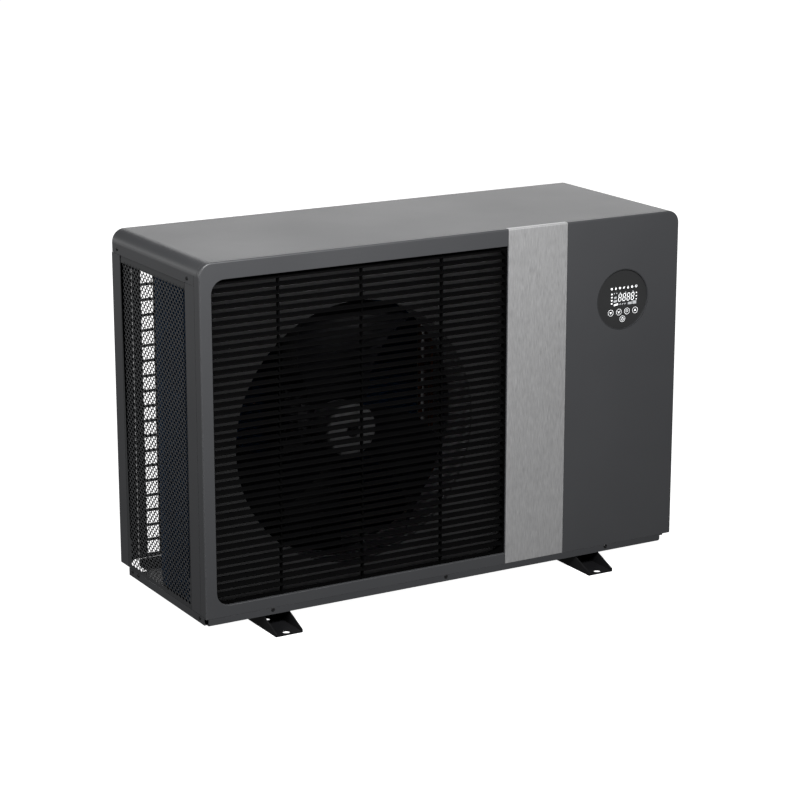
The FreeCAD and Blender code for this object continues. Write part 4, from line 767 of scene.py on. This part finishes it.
def icon_leaf(x, z):
    return [[(x - 2.4, z - 1.6), (x + 0.4, z - 1.7), (x + 2.5, z + 1.9), (x - 0.9, z + 1.6)]]


def icon_flame(x, z):
    return [disc(x, z - 1.0, 1.9, 10), [(x - 0.9, z), (x + 0.9, z), (x + 0.2, z + 2.9)]]


def icon_roof(x, z):
    return [[(x - 2.6, z - 0.2), (x + 2.6, z - 0.2), (x, z + 2.6)],
            [(x - 1.8, z - 2.1), (x + 1.8, z - 2.1), (x + 1.8, z + 0.2), (x - 1.8, z + 0.2)]]


def make_display_marks():
    """The lit digits and signs: a row of icons on top, a column at the left, four digits, small marks.

    Places are millimetres from the display's middle."""
    cx = display_centre.x
    cz = display_centre.z
    bright = []
    grey = []
    for index in range(4):
        bright += seven_segments(cx - 8.0 + 9.6 * index, cz - 3.6, 5.6, 13.6)
    icons = [icon_disc, icon_drop, icon_disc, icon_leaf, icon_flame, icon_roof, icon_ring]
    for index, icon in enumerate(icons):
        bright += icon(cx - 23.4 + 9.25 * index, cz + 21.4)
    for index in range(4):
        bright.append(bar(cx - 24.6, cz + 11.0 - 6.0 * index, cx - 21.4, cz + 11.4 - 6.0 * index, 2.6))
    for index in range(3):
        bright.append(disc(cx + 33.0, cz + 9.0 - 6.2 * index, 1.3, 8))
    for offset in (-17.5, -11.8, -3.6, 8.4, 25.2):
        grey.append(disc(cx + offset, cz + 12.2, 1.3, 8))
    grey.append(bar(cx - 17.5, cz + 3.4, cx - 12.0, cz + 4.4, 3.6))
    grey.append(bar(cx - 18.5, cz - 3.4, cx - 11.0, cz - 2.4, 4.2))
    bright.append(bar(cx - 18.0, cz - 10.6, cx - 8.6, cz - 8.8, 3.2))
    for index in range(3):
        grey.append(bar(cx - 5.0 + 5.4 * index, cz - 10.6, cx - 2.0 + 5.4 * index, cz - 8.4, 1.6))
    grey.append(bar(cx + 14.0, cz - 9.6, cx + 23.0, cz - 9.6, 4.6))
    grey.append(bar(cx + 24.5, cz - 9.0, cx + 33.0, cz - 9.0, 6.2))
    flat_prints("display_digits", bright, glowing_white_print, "lens_plastic", print_front)
    flat_prints("display_small_marks", grey, print_grey, "lens_plastic", print_front)


def ring_marks(x, z, radius, width, count=28):
    """A ring made of short touching bars."""
    marks = []
    for step in range(count):
        a = 2 * math.pi * step / count
        b = 2 * math.pi * (step + 1) / count
        outline = [(x + (radius - width / 2) * math.cos(a), z + (radius - width / 2) * math.sin(a)),
                   (x + (radius + width / 2) * math.cos(a), z + (radius + width / 2) * math.sin(a)),
                   (x + (radius + width / 2) * math.cos(b), z + (radius + width / 2) * math.sin(b)),
                   (x + (radius - width / 2) * math.cos(b), z + (radius - width / 2) * math.sin(b))]
        marks.append(outline)
    return marks


def make_key_marks():
    """A ring and a sign on each key."""
    for key in ("key_down", "key_left", "key_right", "key_up", "key_power"):
        low, high = local_box(key)
        x = (low.x + high.x) / 2
        z = (low.z + high.z) / 2
        face = low.y
        marks = ring_marks(x, z, 5.8, 0.6)
        if key == "key_down":
            marks.append([(x - 2.7, z + 1.5), (x, z - 2.6), (x + 2.7, z + 1.5)])
        elif key == "key_up":
            marks.append([(x - 2.7, z - 1.5), (x + 2.7, z - 1.5), (x, z + 2.6)])
        elif key == "key_left":
            marks += [bar(x - 2.4, z + 2.0, x, z - 2.2, 1.1), bar(x, z - 2.2, x + 2.4, z + 2.0, 1.1)]
        elif key == "key_right":
            marks += ring_marks(x, z, 2.4, 0.8, 16)[:11] + [bar(x, z, x + 1.8, z - 1.8, 0.8)]
        else:
            marks += ring_marks(x, z - 0.3, 2.5, 0.8, 16)[:6] + ring_marks(x, z - 0.3, 2.5, 0.8, 16)[7:]
            marks.append(bar(x, z + 0.4, x, z + 3.4, 0.8))
        # the key marks glow like the lit digits; on the keys this glow is painted light
        flat_prints(key + "_mark", marks, glowing_white_print, "key_plastic", face, key + "_body")


make_side_mesh()
make_fin_pack()
make_coil_tubes()
make_grille()
make_screws()
make_display_marks()
make_key_marks()


# ---------------------------------------------------------------- stage, lights and camera

def make_stage():
    """A wide white floor that diffuse and glossy rays pass by, so that it throws no light on the unit."""
    mesh = bpy.data.meshes.new("floor")
    reach = 60.0
    mesh.from_pydata([(-reach, -reach, 0.0), (reach, -reach, 0.0), (reach, reach, 0.0), (-reach, reach, 0.0)],
                     [], [(0, 1, 2, 3)])
    material = surface("pale_floor", (0.38, 0.38, 0.38), (0.42, 0.42, 0.42), (0.8, 0.9), specular=0.1,
                       patch=0.6, grain=40.0, bump=0.0)
    shader = material.node_tree.nodes["Principled BSDF"]
    shader.inputs["Emission Color"].default_value = (1.0, 1.0, 1.0, 1.0)
    shader.inputs["Emission Strength"].default_value = 1.0
    material.cycles.emission_sampling = "NONE"
    mesh.materials.append(material)
    floor = bpy.data.objects.new("floor", mesh)
    floor.visible_diffuse = False
    floor.visible_glossy = False
    bpy.context.scene.collection.objects.link(floor)


def area_light(name, place, target, width, height, power):
    """A soft box at a place in metres, turned to a target."""
    light = bpy.data.lights.new(name, "AREA")
    light.shape = "RECTANGLE"
    light.size = width
    light.size_y = height
    light.energy = power
    holder = bpy.data.objects.new(name, light)
    holder.location = place
    holder.rotation_euler = (Vector(target) - Vector(place)).to_track_quat("-Z", "Y").to_euler()
    holder.visible_camera = False
    bpy.context.scene.collection.objects.link(holder)


def make_lights():
    """A dim sky that the camera sees as white, and four soft boxes."""
    world = bpy.data.worlds.new("studio")
    world.use_nodes = True
    tree = world.node_tree
    ambient = tree.nodes["Background"]
    ambient.inputs["Color"].default_value = (1.0, 1.0, 1.0, 1.0)
    ambient.inputs["Strength"].default_value = 0.09
    backdrop = add_node(tree, "ShaderNodeBackground", Strength=1.0)
    rays = add_node(tree, "ShaderNodeLightPath")
    choice = add_node(tree, "ShaderNodeMixShader")
    tree.links.new(rays.outputs["Is Camera Ray"], choice.inputs["Fac"])
    tree.links.new(ambient.outputs["Background"], choice.inputs[1])
    tree.links.new(backdrop.outputs["Background"], choice.inputs[2])
    tree.links.new(choice.outputs["Shader"], tree.nodes["World Output"].inputs["Surface"])
    bpy.context.scene.world = world
    area_light("behind_right", (2.1, 3.2, 1.9), (0.05, 0.0, 0.6), 3.4, 2.0, 40.0)
    area_light("front_up_left", (-0.45, -1.7, 1.7), (-0.3, 0.0, 0.4), 0.8, 0.5, 74.0)
    area_light("left_side", (-2.6, -0.2, 1.15), (-0.5, 0.0, 0.4), 1.2, 0.6, 31.0)
    area_light("left_back_low", (-3.0, 4.5, 0.8), (-0.5, 0.0, 0.4), 2.0, 1.0, 17.0)


def make_camera():
    """A long lens from the left and a little above."""
    camera = bpy.data.cameras.new("camera")
    camera.sensor_width = 36.0
    camera.lens = 111.506
    camera.clip_end = 200.0
    holder = bpy.data.objects.new("camera", camera)
    azimuth = math.radians(-30.1615)
    elevation = math.radians(14.8346)
    back = Vector((math.sin(azimuth) * math.cos(elevation), -math.cos(azimuth) * math.cos(elevation),
                   math.sin(elevation)))
    holder.location = at(-1763.3, -3709.6, 1522.5)
    holder.rotation_euler = (-back).to_track_quat("-Z", "Y").to_euler()
    bpy.context.scene.collection.objects.link(holder)
    bpy.context.scene.camera = holder


make_stage()
make_lights()
make_camera()
bpy.context.scene.view_settings.view_transform = "Standard"
